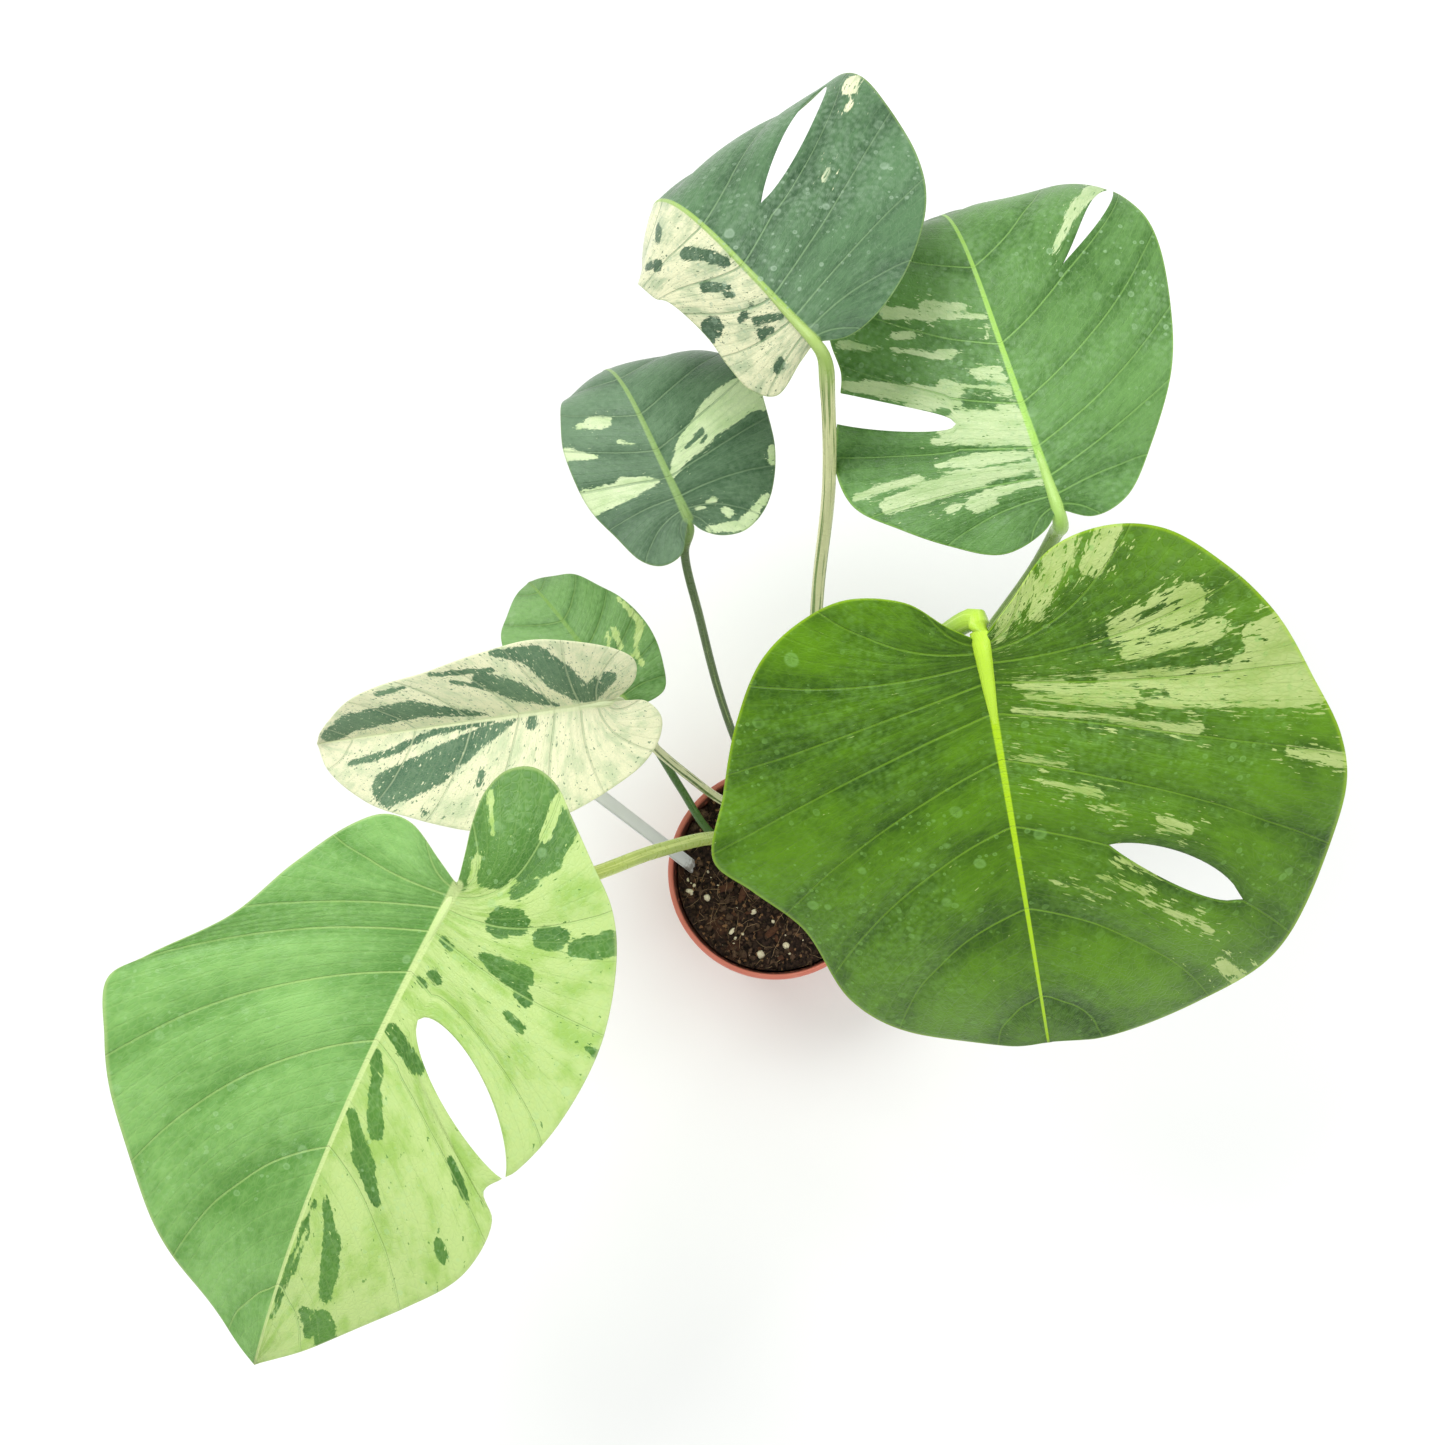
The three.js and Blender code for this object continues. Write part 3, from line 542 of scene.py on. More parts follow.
# ---- Plant label ------------------------------------------------------------
# A blank strip cut from milky plastic sheet, pushed into the soil at a lean. Its lower end is
# narrowed so that it goes in easily.
LABEL_WIDTH = 0.008
LABEL_THICKNESS = 0.0006
LABEL_LENGTH = 0.150
LABEL_BURIED = 0.032
LABEL_BEARING = math.radians(173)
LABEL_LEAN = (-0.47, 0.25)
LABEL_TWIST = math.radians(20)
label_along = np.array([*LABEL_LEAN, math.sqrt(1 - LABEL_LEAN[0] ** 2 - LABEL_LEAN[1] ** 2)])
rim_reach = RIM_RADIUS - LIP - 0.00235 - LABEL_WIDTH / 2
label_entry = np.array([rim_reach * math.cos(LABEL_BEARING), rim_reach * math.sin(LABEL_BEARING), POT_HEIGHT])
label_entry -= label_along * (POT_HEIGHT - SOIL_TOP) / label_along[2]
level = np.cross([0, 0, 1], label_along)
level /= np.linalg.norm(level)
label_across = level * math.cos(LABEL_TWIST) + np.cross(label_along, level) * math.sin(LABEL_TWIST)
label_face = np.cross(label_across, label_along)


def strip(width_at, lengths, across_steps, thickness):
    """A flat strip: across it by a share of its width, along it by a length, with a slight cup
    across. Its second sheet is a thickness behind the first."""
    share, length = np.meshgrid(np.linspace(-1, 1, across_steps), lengths, indexing="ij")
    cup = 0.0005 * (share ** 2) - 0.00025
    front = np.stack([share * width_at(length) / 2, length, cup + thickness / 2], -1)
    back = front - [0, 0, thickness]
    return np.concatenate([front.reshape(-1, 3), back.reshape(-1, 3)])


label_lengths = np.concatenate([np.linspace(-LABEL_BURIED, -LABEL_BURIED + 0.008, 8),
                                np.linspace(-0.022, LABEL_LENGTH - LABEL_BURIED - 0.004, 20),
                                LABEL_LENGTH - LABEL_BURIED - 0.004 * np.cos(np.linspace(0.3, np.pi / 2, 8))])


def label_width(length):
    """Full width on most of it, narrowed at the foot and rounded off at the top corners."""
    foot = np.clip((length + LABEL_BURIED) / 0.0064, 0, 1)
    top = np.clip((LABEL_LENGTH - LABEL_BURIED - length) / 0.004, 0, 1)
    return LABEL_WIDTH * (0.4 + 0.6 * foot) * (0.55 + 0.45 * np.sqrt(1 - (1 - top) ** 2))


rows, columns = 7, len(label_lengths)
local = strip(label_width, label_lengths, rows, LABEL_THICKNESS)
label_points = label_entry + local @ np.stack([label_across, label_along, label_face])
i, j = np.meshgrid(np.arange(rows - 1), np.arange(columns - 1), indexing="ij")
corner = (i * columns + j).ravel()
front_faces = np.stack([corner, corner + columns, corner + columns + 1, corner + 1], -1)
sheet_count = rows * columns
edge = np.concatenate([np.arange(columns - 1), np.arange(columns - 1, sheet_count - 1, columns),
                       np.arange(sheet_count - 1, sheet_count - columns, -1),
                       np.arange(sheet_count - columns, 0, -columns)])
after = np.roll(edge, -1)
wall_faces = np.stack([edge, after, after + sheet_count, edge + sheet_count], -1)
label_faces = np.vstack([front_faces, front_faces[:, ::-1] + sheet_count, wall_faces[:, ::-1]])
milky, tree, shader = finish("label_plastic", 0.38)
at = place(tree)
height = put(tree, "SeparateXYZ", {0: at}).outputs["Z"]
spots = noise(tree, at, 260, 5)
drying = maths(tree, "MULTIPLY", maths(tree, "SUBTRACT", height, SOIL_TOP), 16.0)
splash = ramp(tree, maths(tree, "SUBTRACT", spots, drying), 0.35, 0.6)
shade = blend(tree, noise(tree, at, 40, 3), tone("eceded"), tone("fbfbfa"))
shade = blend(tree, maths(tree, "MULTIPLY", splash, 0.7), shade, tone("6b5443"))
tree.links.new(shade, shader.inputs["Base Color"])
raise_bump(tree, shader, noise(tree, at, 500, 3), 0.00005)
make_piece("blank_label", label_points, label_faces, [milky], ["plant_label"])

# ---- Stem -------------------------------------------------------------------
# The short green stem that the petioles leave, ringed where older leaves were shed, with its
# foot in the soil. It grew as one piece with the roots below.
STEM_LOW, STEM_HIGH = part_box("stem")
stem_heights = np.linspace(STEM_LOW[2], STEM_HIGH[2] - 0.0005, 90)
above_soil = (stem_heights - SOIL_TOP) / (STEM_HIGH[2] - SOIL_TOP)
stem_radius = 0.0081 - 0.0016 * np.clip(above_soil, 0, 1) ** 3 - 0.003 * np.clip(-above_soil - 0.6, 0, 1)
for ring_height in (0.088, 0.0945, 0.1005, 0.1065, 0.1115):
    away = (stem_heights - ring_height) / 0.0009
    stem_radius += 0.0007 * np.exp(-away ** 2) - 0.0004 * np.exp(-(away - 2) ** 2)
stem_radius *= np.sqrt(np.clip(1 - np.clip((above_soil - 0.86) / 0.14, 0, 1) ** 2, 0.02, 1))
stem_profile = np.vstack([[[0, stem_heights[0]]], np.column_stack([stem_radius, stem_heights]),
                          [[0, STEM_HIGH[2]]]])
stem_points, stem_faces = turned(stem_profile, 64)
stem_points += [*STEM_PLACE, 0]
stem_skin, tree, shader = finish("stem_skin", 0.5)
at = place(tree)
ringed = noise(tree, put(tree, "Mapping", {"Vector": at, "Scale": (60, 60, 420)}).outputs[0], 1, 4)
shade = blend(tree, ringed, tone("4e6a2c"), tone("8aa055"))
shade = blend(tree, ramp(tree, noise(tree, at, 210, 4), 0.55, 0.7), shade, tone("8b7448"))
tree.links.new(shade, shader.inputs["Base Color"])
raise_bump(tree, shader, ringed, 0.0005)
make_piece("stem_body", stem_points, stem_faces, [stem_skin], ["stem"])

# ---- Leaf shapes ------------------------------------------------------------
# Each blade grew flat and heart-shaped and was then folded, curled and bent by its weight. These
# are its measures, in millimetres and degrees. base is the joint of petiole and blade, and
# heading, pitch and roll turn the blade there. left and right are its margins from the joint
# round the lobe to the tip, with x along the midrib and y across it. arch bends the midrib down
# between two shares of its length, back bends the lobes behind the joint, sweep turns it
# sideways, and fold and curl lift or drop each half. A slit follows the vein row s.
MM = 0.001
LEAVES = {
    "leaf_1": dict(
        base=(-141, -40, 330), heading=241, pitch=-8, roll=-6, length=240, width=230,
        arch=(26, 0.1, 1), back=10, sweep=10, crowd=3.6,
        fold=(10, 14), fold_tip=(0, 0), curl=(-10, -14),
        left=[(0, 0), (-14, -4), (-27, -8), (-40, -10), (-52, -7), (-59, 2), (-58, 14), (-49, 28),
              (-37, 45), (-24, 62), (-6, 74), (30, 85), (68, 84), (96, 76), (109, 68), (119, 76),
              (145, 74), (175, 56), (212, 26), (240, 0)],
        right=[(0, 0), (-6, -12), (-14, -30), (-12, -41), (-2, -51), (22, -64), (50, -76),
               (78, -100), (92, -111), (112, -102), (134, -90), (172, -62), (212, -25), (240, 0)],
        slits=[dict(side="left", s=0.612, start=0.15, stop=1.01, width=21, rise=0.5, fall=0.7)]),
    "leaf_2": dict(
        base=(-84, 59, 250), heading=187, pitch=-4, roll=-12, length=153, width=124,
        arch=(20, 0, 1), back=10, sweep=0, crowd=2.4,
        fold=(5, 50), fold_tip=(0, 0), curl=(-5, -20),
        left=[(0, 0), (-10, 0.5), (-18, 2), (-24, 10), (-22, 20), (-13, 31), (2, 40), (26, 50),
              (50, 55), (76, 52), (104, 42), (130, 31), (148, 13), (153, 0)],
        right=[(0, 0), (-8, -5), (-15, -14), (-16, -25), (-8, -33), (13, -41), (30, -44),
               (51, -41), (76, -35), (102, -31), (126, -22), (146, -8), (153, 0)]),
    "leaf_3": dict(
        base=(-78, 69, 205), heading=127, pitch=0, roll=0, length=94, width=86,
        arch=(50, 0.4, 1.1), back=10, sweep=0, crowd=2.4,
        fold=(0, 0), fold_tip=(0, 0), curl=(-10, -10),
        left=[(0, 0), (-6, 8), (-6, 20), (4, 31), (25, 38), (46, 37), (67, 31), (82, 20), (91, 8),
              (94, 0)],
        right=[(0, 0), (-5, -8), (-5, -20), (7, -28), (29, -34), (48, -31), (65, -25), (80, -17),
               (90, -7), (94, 0)]),
    "leaf_4": dict(
        base=(-46, 145, 270), heading=114, pitch=-2, roll=6, length=135, width=120,
        arch=(75, 0.36, 0.96), back=10, sweep=0, crowd=2.4,
        fold=(-12, -4), fold_tip=(0, 0), curl=(-10, -10),
        left=[(0, 0), (-6, 4), (-15, 10), (-16, 20), (-9, 29), (9, 36), (33, 42), (60, 41),
              (85, 34), (108, 24), (124, 11), (135, 0)],
        right=[(0, 0), (-8, -4), (-14, -12), (-15, -24), (-4, -42), (20, -57), (45, -64),
               (75, -66), (102, -55), (122, -30), (135, 0)]),
    "leaf_5": dict(
        base=(10, 189, 370), heading=129, pitch=-6, roll=-4, length=190, width=190,
        arch=(75, 0.26, 0.85), back=20, sweep=0, crowd=2.6,
        fold=(-58, 0), fold_tip=(25, 0), curl=(-10, -6),
        left=[(0, 0), (2, 14), (7, 40), (20, 49), (34, 47), (50, 42), (84, 42), (112, 42),
              (146, 36), (172, 22), (186, 8), (190, 0)],
        right=[(0, 0), (-8, -12), (-8, -30), (3, -57), (20, -80), (40, -92), (72, -101),
               (104, -104), (136, -94), (162, -72), (181, -38), (190, 0)],
        slits=[dict(side="right", s=0.598, start=0.24, stop=0.9, width=13, rise=0.7, fall=0.5)]),
    "leaf_6": dict(
        base=(119, 128, 330), heading=106, pitch=0, roll=-6, length=200, width=170,
        arch=(70, 0.5, 1), back=20, sweep=0, crowd=2.6,
        fold=(-4, 0), fold_tip=(0, 0), curl=(-12, -12),
        left=[(0, 0), (-8, 9), (-12, 28), (0, 50), (14, 68), (34, 86), (55, 88), (74, 81),
              (92, 74), (118, 72), (150, 60), (178, 38), (192, 18), (200, 0)],
        right=[(0, 0), (-8, -14), (-4, -30), (18, -50), (47, -69), (76, -80), (106, -85),
               (134, -83), (160, -74), (180, -50), (193, -22), (200, 0)],
        slits=[dict(side="left", s=0.502, start=0.38, stop=1.05, width=15, rise=0.35, fall=0.05),
               dict(side="right", s=0.7, start=0.42, stop=1.02, width=11, rise=1.5, fall=0.6)]),
    "leaf_7": dict(
        base=(69, 41, 420), heading=285, pitch=-34, roll=12, length=218, width=260,
        arch=(24, 0, 1), back=20, sweep=0, crowd=3.4,
        fold=(-5, -8), fold_tip=(0, 0), curl=(-10, -12),
        left=[(0, 0), (-14, 14), (-30, 31), (-34, 53), (-28, 75), (-9, 96), (18, 115), (51, 128),
              (80, 137), (111, 138), (168, 121), (206, 98), (221, 66), (223, 30), (218, 0)],
        right=[(0, 0), (-8, -12), (-20, -26), (-24, -48), (-17, -68), (-2, -88), (25, -105),
               (61, -119), (97, -131), (112, -117), (136, -99), (186, -85), (212, -60),
               (221, -20), (218, 0)],
        slits=[dict(side="left", s=0.72, start=0.28, stop=0.75, width=18, rise=0.8, fall=0.6)]),
}


def turn_about(axis, degrees):
    """The rotation matrix about x, y or z by an angle."""
    c, s = math.cos(math.radians(degrees)), math.sin(math.radians(degrees))
    rows = {"x": [[1, 0, 0], [0, c, -s], [0, s, c]], "y": [[c, 0, s], [0, 1, 0], [-s, 0, c]],
            "z": [[c, -s, 0], [s, c, 0], [0, 0, 1]]}
    return np.array(rows[axis])


def leaf_to_world(leaf, points):
    """Turns and moves points of a blade, in mm, from its joint's frame to the plant's, in metres."""
    turn = turn_about("z", leaf["heading"]) @ turn_about("y", -leaf["pitch"])
    turn = turn @ turn_about("x", leaf["roll"])
    return (points @ turn.T + leaf["base"]) * MM


def flowing_line(points, shares):
    """A smooth line through points (centripetal Catmull-Rom), read at shares of its length."""
    p = np.asarray(points, float)
    p = np.vstack([2 * p[0] - p[1], p, 2 * p[-1] - p[-2]])
    knots = np.concatenate([[0], np.cumsum(np.linalg.norm(np.diff(p, axis=0), axis=1) ** 0.5)])
    u = np.concatenate([np.linspace(a, b, 40, endpoint=False) for a, b in zip(knots[1:-2], knots[2:-1])])
    u = np.append(u, knots[-2])
    i = np.clip(np.searchsorted(knots, u, side="right") - 1, 1, len(p) - 3)
    k = [knots[i + n][:, None] for n in (-1, 0, 1, 2)]
    q = [p[i + n] for n in (-1, 0, 1, 2)]
    u = u[:, None]

    def between(a, b, low, high):
        return ((high - u) * a + (u - low) * b) / (high - low)

    first = [between(q[n], q[n + 1], k[n], k[n + 1]) for n in range(3)]
    second = [between(first[0], first[1], k[0], k[2]), between(first[1], first[2], k[1], k[3])]
    line = between(second[0], second[1], k[1], k[2])
    far = np.concatenate([[0], np.cumsum(np.linalg.norm(np.diff(line, axis=0), axis=1))])
    want = np.asarray(shares, float) * far[-1]
    return np.stack([np.interp(want, far, line[:, n]) for n in range(p.shape[1])], -1)


def midrib(leaf, x):
    """The bent midrib at x: its point, and its side and up directions. Its slope is a soft step
    between two shares of the length, summed along it."""
    length = leaf["length"]
    places = np.linspace(-0.6 * length, 1.05 * length, 600)
    u = places / length
    degrees, low, high = leaf["arch"]
    q = np.clip((u - low) / (high - low), 0, 1)
    pitch = np.radians(np.where(u < 0, leaf["back"] * u, degrees * q * q * (3 - 2 * q)))
    yaw = np.radians(leaf["sweep"]) * u
    ahead = np.stack([np.cos(pitch) * np.cos(yaw), np.cos(pitch) * np.sin(yaw), -np.sin(pitch)], -1)
    steps = (ahead[1:] + ahead[:-1]) / 2 * (places[1] - places[0])
    line = np.vstack([np.zeros(3), np.cumsum(steps, axis=0)])
    line -= [np.interp(0, places, line[:, n]) for n in range(3)]
    point = np.stack([np.interp(x, places, line[:, n]) for n in range(3)], -1)
    forward = np.stack([np.interp(x, places, ahead[:, n]) for n in range(3)], -1)
    forward /= np.linalg.norm(forward, axis=-1, keepdims=True)
    side = np.stack([-forward[..., 1], forward[..., 0], 0 * forward[..., 0]], -1)
    side /= np.linalg.norm(side, axis=-1, keepdims=True)
    return point, side, np.cross(forward, side)


def blade_points(leaf, half, x, y, lift=0.0):
    """A plan point on the folded, curled and bent blade: out from the midrib along an arc whose
    slope starts at the fold and changes by the curl, then raised by lift."""
    which, sign = (0, 1) if half == "left" else (1, -1)
    point, side, up = midrib(leaf, x)
    out = sign * y
    u = np.clip(x / leaf["length"], -0.4, 1.1)
    v = np.clip(out / (leaf["width"] / 2), 0, 2)
    fold = np.radians(leaf["fold"][which] + leaf["fold_tip"][which] * u)
    angles = fold[..., None] + np.radians(leaf["curl"][which]) * v[..., None] * (np.arange(16) + 0.5) / 16
    across = out * np.cos(angles).mean(-1)
    rise = out * np.sin(angles).mean(-1) + lift
    return point + side * (sign * across)[..., None] + up * rise[..., None]


# ---- Petioles ---------------------------------------------------------------
# The leaf stalks: watery, smooth and waxy, clasping the stem at their foot, grooved along their
# upper side, and swollen where they bend up into the midrib under the blade.
PETIOLES = {
    "petiole_1": dict(
        rib="c8df92", leaf="leaf_1", radius=3.4, green="b2c654", cream="c8d476", stripe=0.3,
        approach=(-0.4, 1.1, -2.4), meet=(0.7, 0.1, -0.9),
        route=[
            (0, 4, 104), (-16, 7, 130), (-32, 5, 178), (-63, -12, 240), (-90, -29, 282), (-118, -40, 308)]),
    "petiole_2": dict(
        rib="dfe8b9", leaf="leaf_2", radius=2.4, green="66803f", cream="dcdcae", stripe=0.6,
        route=[
            (2, 10, 100), (-14, 27, 122), (-31, 32, 142), (-46, 38, 170), (-64, 48, 200)]),
    "petiole_3": dict(
        rib="8fae5c", leaf="leaf_3", radius=2.2, green="4a7428", cream="6f9148", stripe=0.1,
        route=[
            (0, 6, 78), (-20, 12, 90), (-37, 20, 110), (-51, 38, 132), (-65, 57, 158)]),
    "petiole_4": dict(
        rib="7f9d55", leaf="leaf_4", radius=2.2, green="5b7440", cream="93a76a", stripe=0.2,
        route=[
            (5, 10, 92), (-8, 38, 108), (-22, 66, 130), (-32, 88, 164), (-41, 114, 206), (-48, 136, 246)]),
    "petiole_5": dict(
        rib="a3bf66", leaf="leaf_5", radius=3.2, green="7f9a52", cream="dfdfaa", stripe=0.6,
        route=[
            (8, 10, 108), (13, 40, 128), (17, 84, 176), (18, 122, 238), (20, 152, 298), (17, 176, 344)]),
    "petiole_6": dict(
        rib="b2d873", leaf="leaf_6", radius=3.4, green="8aad4d", cream="c3d68b", stripe=0.3,
        route=[
            (8, 8, 96), (30, 22, 112), (62, 52, 164), (92, 86, 226), (116, 114, 280), (122, 124, 310)]),
    "petiole_7": dict(
        rib="bce438", leaf="leaf_7", radius=4.0, green="a3c75a", cream="cfe08e", stripe=0.3,
        route=[
            (5, 3, 110), (8, 6, 150), (14, 14, 220), (28, 27, 300), (44, 40, 370), (57, 48, 406)]),
}
JOINT_SHARE = 0.84


def stalk_skin():
    """A node group: cream and green stripes along a stalk, from its shares round and along."""
    group, given, result = group_of(
        "stalk stripes", [("Shares", "Vector", None), ("Cream", "Float", None)],
        [("Mask", "Float"), ("Height", "Float")])
    around = put(group, "SeparateXYZ", {0: given.outputs["Shares"]})
    angle = maths(group, "MULTIPLY", around.outputs["X"], 2 * math.pi)
    circle = put(group, "CombineXYZ", {
        0: maths(group, "COSINE", angle), 1: maths(group, "SINE", angle),
        2: maths(group, "MULTIPLY", around.outputs["Y"], 1.8)}).outputs[0]
    wide = noise(group, circle, 2.2, 2)
    fine = noise(group, circle, 7.0, 3)
    both = maths(group, "ADD", wide, maths(group, "MULTIPLY", fine, 0.35))
    edge = maths(group, "ADD", both, maths(group, "MULTIPLY", given.outputs["Cream"], 0.4))
    group.links.new(ramp(group, edge, 0.82, 0.9), result.inputs["Mask"])
    group.links.new(fine, result.inputs["Height"])
    return group


stripes = stalk_skin()


def stalk_material(name, stalk):
    """Waxy skin: green and cream in long stripes, from the stalk's own shares along and round."""
    material, tree, shader = finish(name + "_skin", 0.36)
    shares = put(tree, "UVMap", uv_map="shares").outputs[0]
    striped = use_group(tree, stripes, {"Shares": shares, "Cream": stalk["stripe"]})
    at = place(tree)
    green = blend(tree, noise(tree, at, 55, 3), tone(stalk["green"]),
                  tuple(0.72 * c for c in tone(stalk["green"])[:3]) + (1.0,))
    shade = blend(tree, striped["Mask"], green, tone(stalk["cream"]))
    along = put(tree, "SeparateXYZ", {0: shares}).outputs["Y"]
    shade = blend(tree, ramp(tree, along, 0.8, 0.88), shade, tone(stalk["rib"]))
    tree.links.new(shade, shader.inputs["Base Color"])
    tree.links.new(ramp(tree, noise(tree, at, 300, 3), -0.6, 2.4), shader.inputs["Roughness"])
    raise_bump(tree, shader, striped["Height"], 0.0003)
    return material


def stalk_radius(radius, u):
    """A stalk's radius at a share of its length: wide where it clasps the stem, swollen a little
    at the blade's joint, and drawn out thin under the midrib."""
    swollen = 1 + 0.45 * np.exp(-(u / 0.05) ** 2) + 0.1 * np.exp(-((u - JOINT_SHARE) / 0.03) ** 2)
    return radius * swollen * np.clip((1 - u) / 0.15, 0, 1) ** 0.6 * np.clip(u / 0.006, 0, 1) ** 0.5


def stalk_groove(u):
    """How deep the groove is at a share of the length, as a share of the radius."""
    return 0.16 * np.clip(u / 0.1, 0, 1) * np.clip((JOINT_SHARE - u) / 0.06, 0, 1)


def stalk_shape(route, radius, steps, sides):
    """A stalk along a route: rings across it whose radius changes along it, pinched in on the
    upper side by a groove. The side direction is level, so that the groove faces up and in."""
    shares = np.linspace(0, 1, steps)
    path = flowing_line(route, shares)
    ahead = np.gradient(path, axis=0)
    ahead /= np.linalg.norm(ahead, axis=1, keepdims=True)
    level = np.cross([0, 0, 1], path[-1] - path[0])
    level /= np.linalg.norm(level)
    side = level - ahead * (ahead @ level)[:, None]
    side /= np.linalg.norm(side, axis=1, keepdims=True)
    up = np.cross(ahead, side)
    angle = np.linspace(0, 2 * np.pi, sides + 1)
    from_top = np.abs((angle - np.pi / 2 + np.pi) % (2 * np.pi) - np.pi)
    pinch = 1 - stalk_groove(shares)[:, None] * np.exp(-(from_top / 0.45) ** 2)
    reach = stalk_radius(radius, shares)[:, None] * pinch
    ring = np.cos(angle)[:, None] * side[:, None] + np.sin(angle)[:, None] * up[:, None]
    points = path[:, None] + ring * reach[..., None]
    uv = np.stack(np.broadcast_arrays(angle[None] / (2 * np.pi), shares[:, None]), -1)
    return points, uv


def closed_grid(name, points, uv, material, nodes):
    """A tube from rings of points whose first and last columns coincide. Both ends are drawn to
    a point, and the texture shares go on the faces' corners."""
    steps, sides = points.shape[0], points.shape[1] - 1
    i, j = np.meshgrid(np.arange(steps - 1), np.arange(sides), indexing="ij")
    cell = [(i, j), (i + 1, j), (i + 1, j + 1), (i, j + 1)]
    faces = np.stack([a * sides + b % sides for a, b in cell], -1).reshape(-1, 4)
    corners = np.stack([uv[a, b] for a, b in cell], -2).reshape(-1, 2)
    piece = make_piece(name, points[:, :-1], faces[:, ::-1], [material], nodes)
    layer = piece.data.uv_layers.new(name="shares")
    layer.data.foreach_set("uv", corners.reshape(-1, 4, 2)[:, ::-1].ravel())
    return piece


for name, stalk in PETIOLES.items():
    leaf = LEAVES[stalk["leaf"]]
    radius = stalk["radius"]
    ends = np.array([stalk.get("approach", (-1.7, 0, -1.9)), stalk.get("meet", (-0.2, 0, -0.45))]) * radius
    rib = blade_points(leaf, "left", np.array([4.0, 12.0]) * radius, np.zeros(2), -0.22 * radius)
    ends = leaf_to_world(leaf, np.vstack([ends, rib])) / MM
    route = np.vstack([stalk["route"], ends])
    points, uv = stalk_shape(route, radius, 120, 28)
    closed_grid(name + "_stalk", points * MM, uv, stalk_material(name, stalk), [name])


# ---- Blades -----------------------------------------------------------------
# The seven leaves. Their skin is waxy, quilted between the side veins, with a pale midrib that
# stands out below, and marbled cream where the tissue has no green in it.
BLADE_THICKNESS = 0.5
MARGIN_WAVE = 1.5
MERGE_CELLS_A_METRE = 2e6
SLIT_SPREAD = 0.16
FINE_ROWS = 200
FINE_COLUMNS = 42


def vein_rows(leaf, half, s):
    """The vein rows in plan: each leaves the midrib, bends, and ends on the margin (a quadratic
    curve). s is the share of the margin's length."""
    sign = 1 if half == "left" else -1
    end = flowing_line(leaf[half], s)
    start = np.stack([leaf["length"] * (0.1 * s + 0.9 * s ** leaf["crowd"]), 0 * s], -1)
    span = end - start
    reach = np.linalg.norm(span, axis=-1)
    heading = np.degrees(np.arctan2(sign * span[:, 1], span[:, 0]))
    heading = np.where(heading < -90, heading + 360, heading)
    leave = np.radians(75 + 0.35 * (heading - 75))
    bend = start + 0.5 * reach[:, None] * np.stack([np.cos(leave), sign * np.sin(leave)], -1)
    return start, bend, end


def plan_rows(leaf, half, s, t):
    """Plan points on the vein rows s at the shares t of the way out from the midrib."""
    start, bend, end = (point[:, None] for point in vein_rows(leaf, half, s))
    t = t[None, :, None]
    return (1 - t) ** 2 * start + 2 * t * (1 - t) * bend + t * t * end


def row_gap(leaf, half, s, t):
    """How far apart, in mm, two rows run whose shares of the margin differ by one: the change of
    place from row to row, taken square to the row."""
    nudge = np.clip(s[None] + [[-0.004], [0.004]], 0, 1)
    across = plan_rows(leaf, half, nudge[1], t) - plan_rows(leaf, half, nudge[0], t)
    across /= (nudge[1] - nudge[0])[:, None, None]
    along = np.gradient(plan_rows(leaf, half, s, t), t, axis=1)
    square = across[..., 0] * along[..., 1] - across[..., 1] * along[..., 0]
    return np.abs(square) / np.maximum(np.linalg.norm(along, axis=-1), 1e-6)


def plan_grid(leaf, half, s, t, edge):
    """Plan points of the blade for rows s and columns t. Near a slit the rows are pushed apart
    across their vein, by an amount that is widest on the slit and dies away beside it."""
    plan = plan_rows(leaf, half, s, t)
    for slit in leaf.get("slits", ()):
        if slit["side"] != half:
            continue
        near = np.clip(1 - np.abs(s - slit["s"]) / SLIT_SPREAD, 0, 1) ** 2
        side = np.where(np.isclose(s, slit["s"]), edge, np.sign(s - slit["s"]))
        tau = np.clip((t - slit["start"]) / (slit["stop"] - slit["start"]), 0, 1)
        peak = slit["rise"] / (slit["rise"] + slit["fall"])
        share = (tau / peak) ** slit["rise"] * ((1 - tau) / (1 - peak)) ** slit["fall"]
        share *= (t > slit["start"]) & (t < slit["stop"])
        pair = plan_rows(leaf, half, slit["s"] + np.array([-0.01, 0.01]), t)
        way = pair[1] - pair[0]
        way /= np.linalg.norm(way, axis=-1, keepdims=True)
        plan += (near * side)[:, None, None] * (slit["width"] / 2 * share)[None, :, None] * way[None]
    return plan


def streak(leaf, half, x, y, mark):
    """How far inside a streak each plan point lies, in mm: a line between the places of its two
    ends, whose half width changes from the first end to the second."""
    first_row, first_out, last_row, last_out, first_half, last_half = mark
    ends = plan_rows(leaf, half, np.array([first_row, last_row]), np.array([first_out, last_out]))
    x0, y0 = ends[0, 0]
    dx, dy = ends[1, 1] - ends[0, 0]
    along = np.clip(((x - x0) * dx + (y - y0) * dy) / (dx * dx + dy * dy + 1e-9), 0, 1)
    half_width = first_half + (last_half - first_half) * along
    return half_width - np.hypot(x - x0 - along * dx, y - y0 - along * dy)


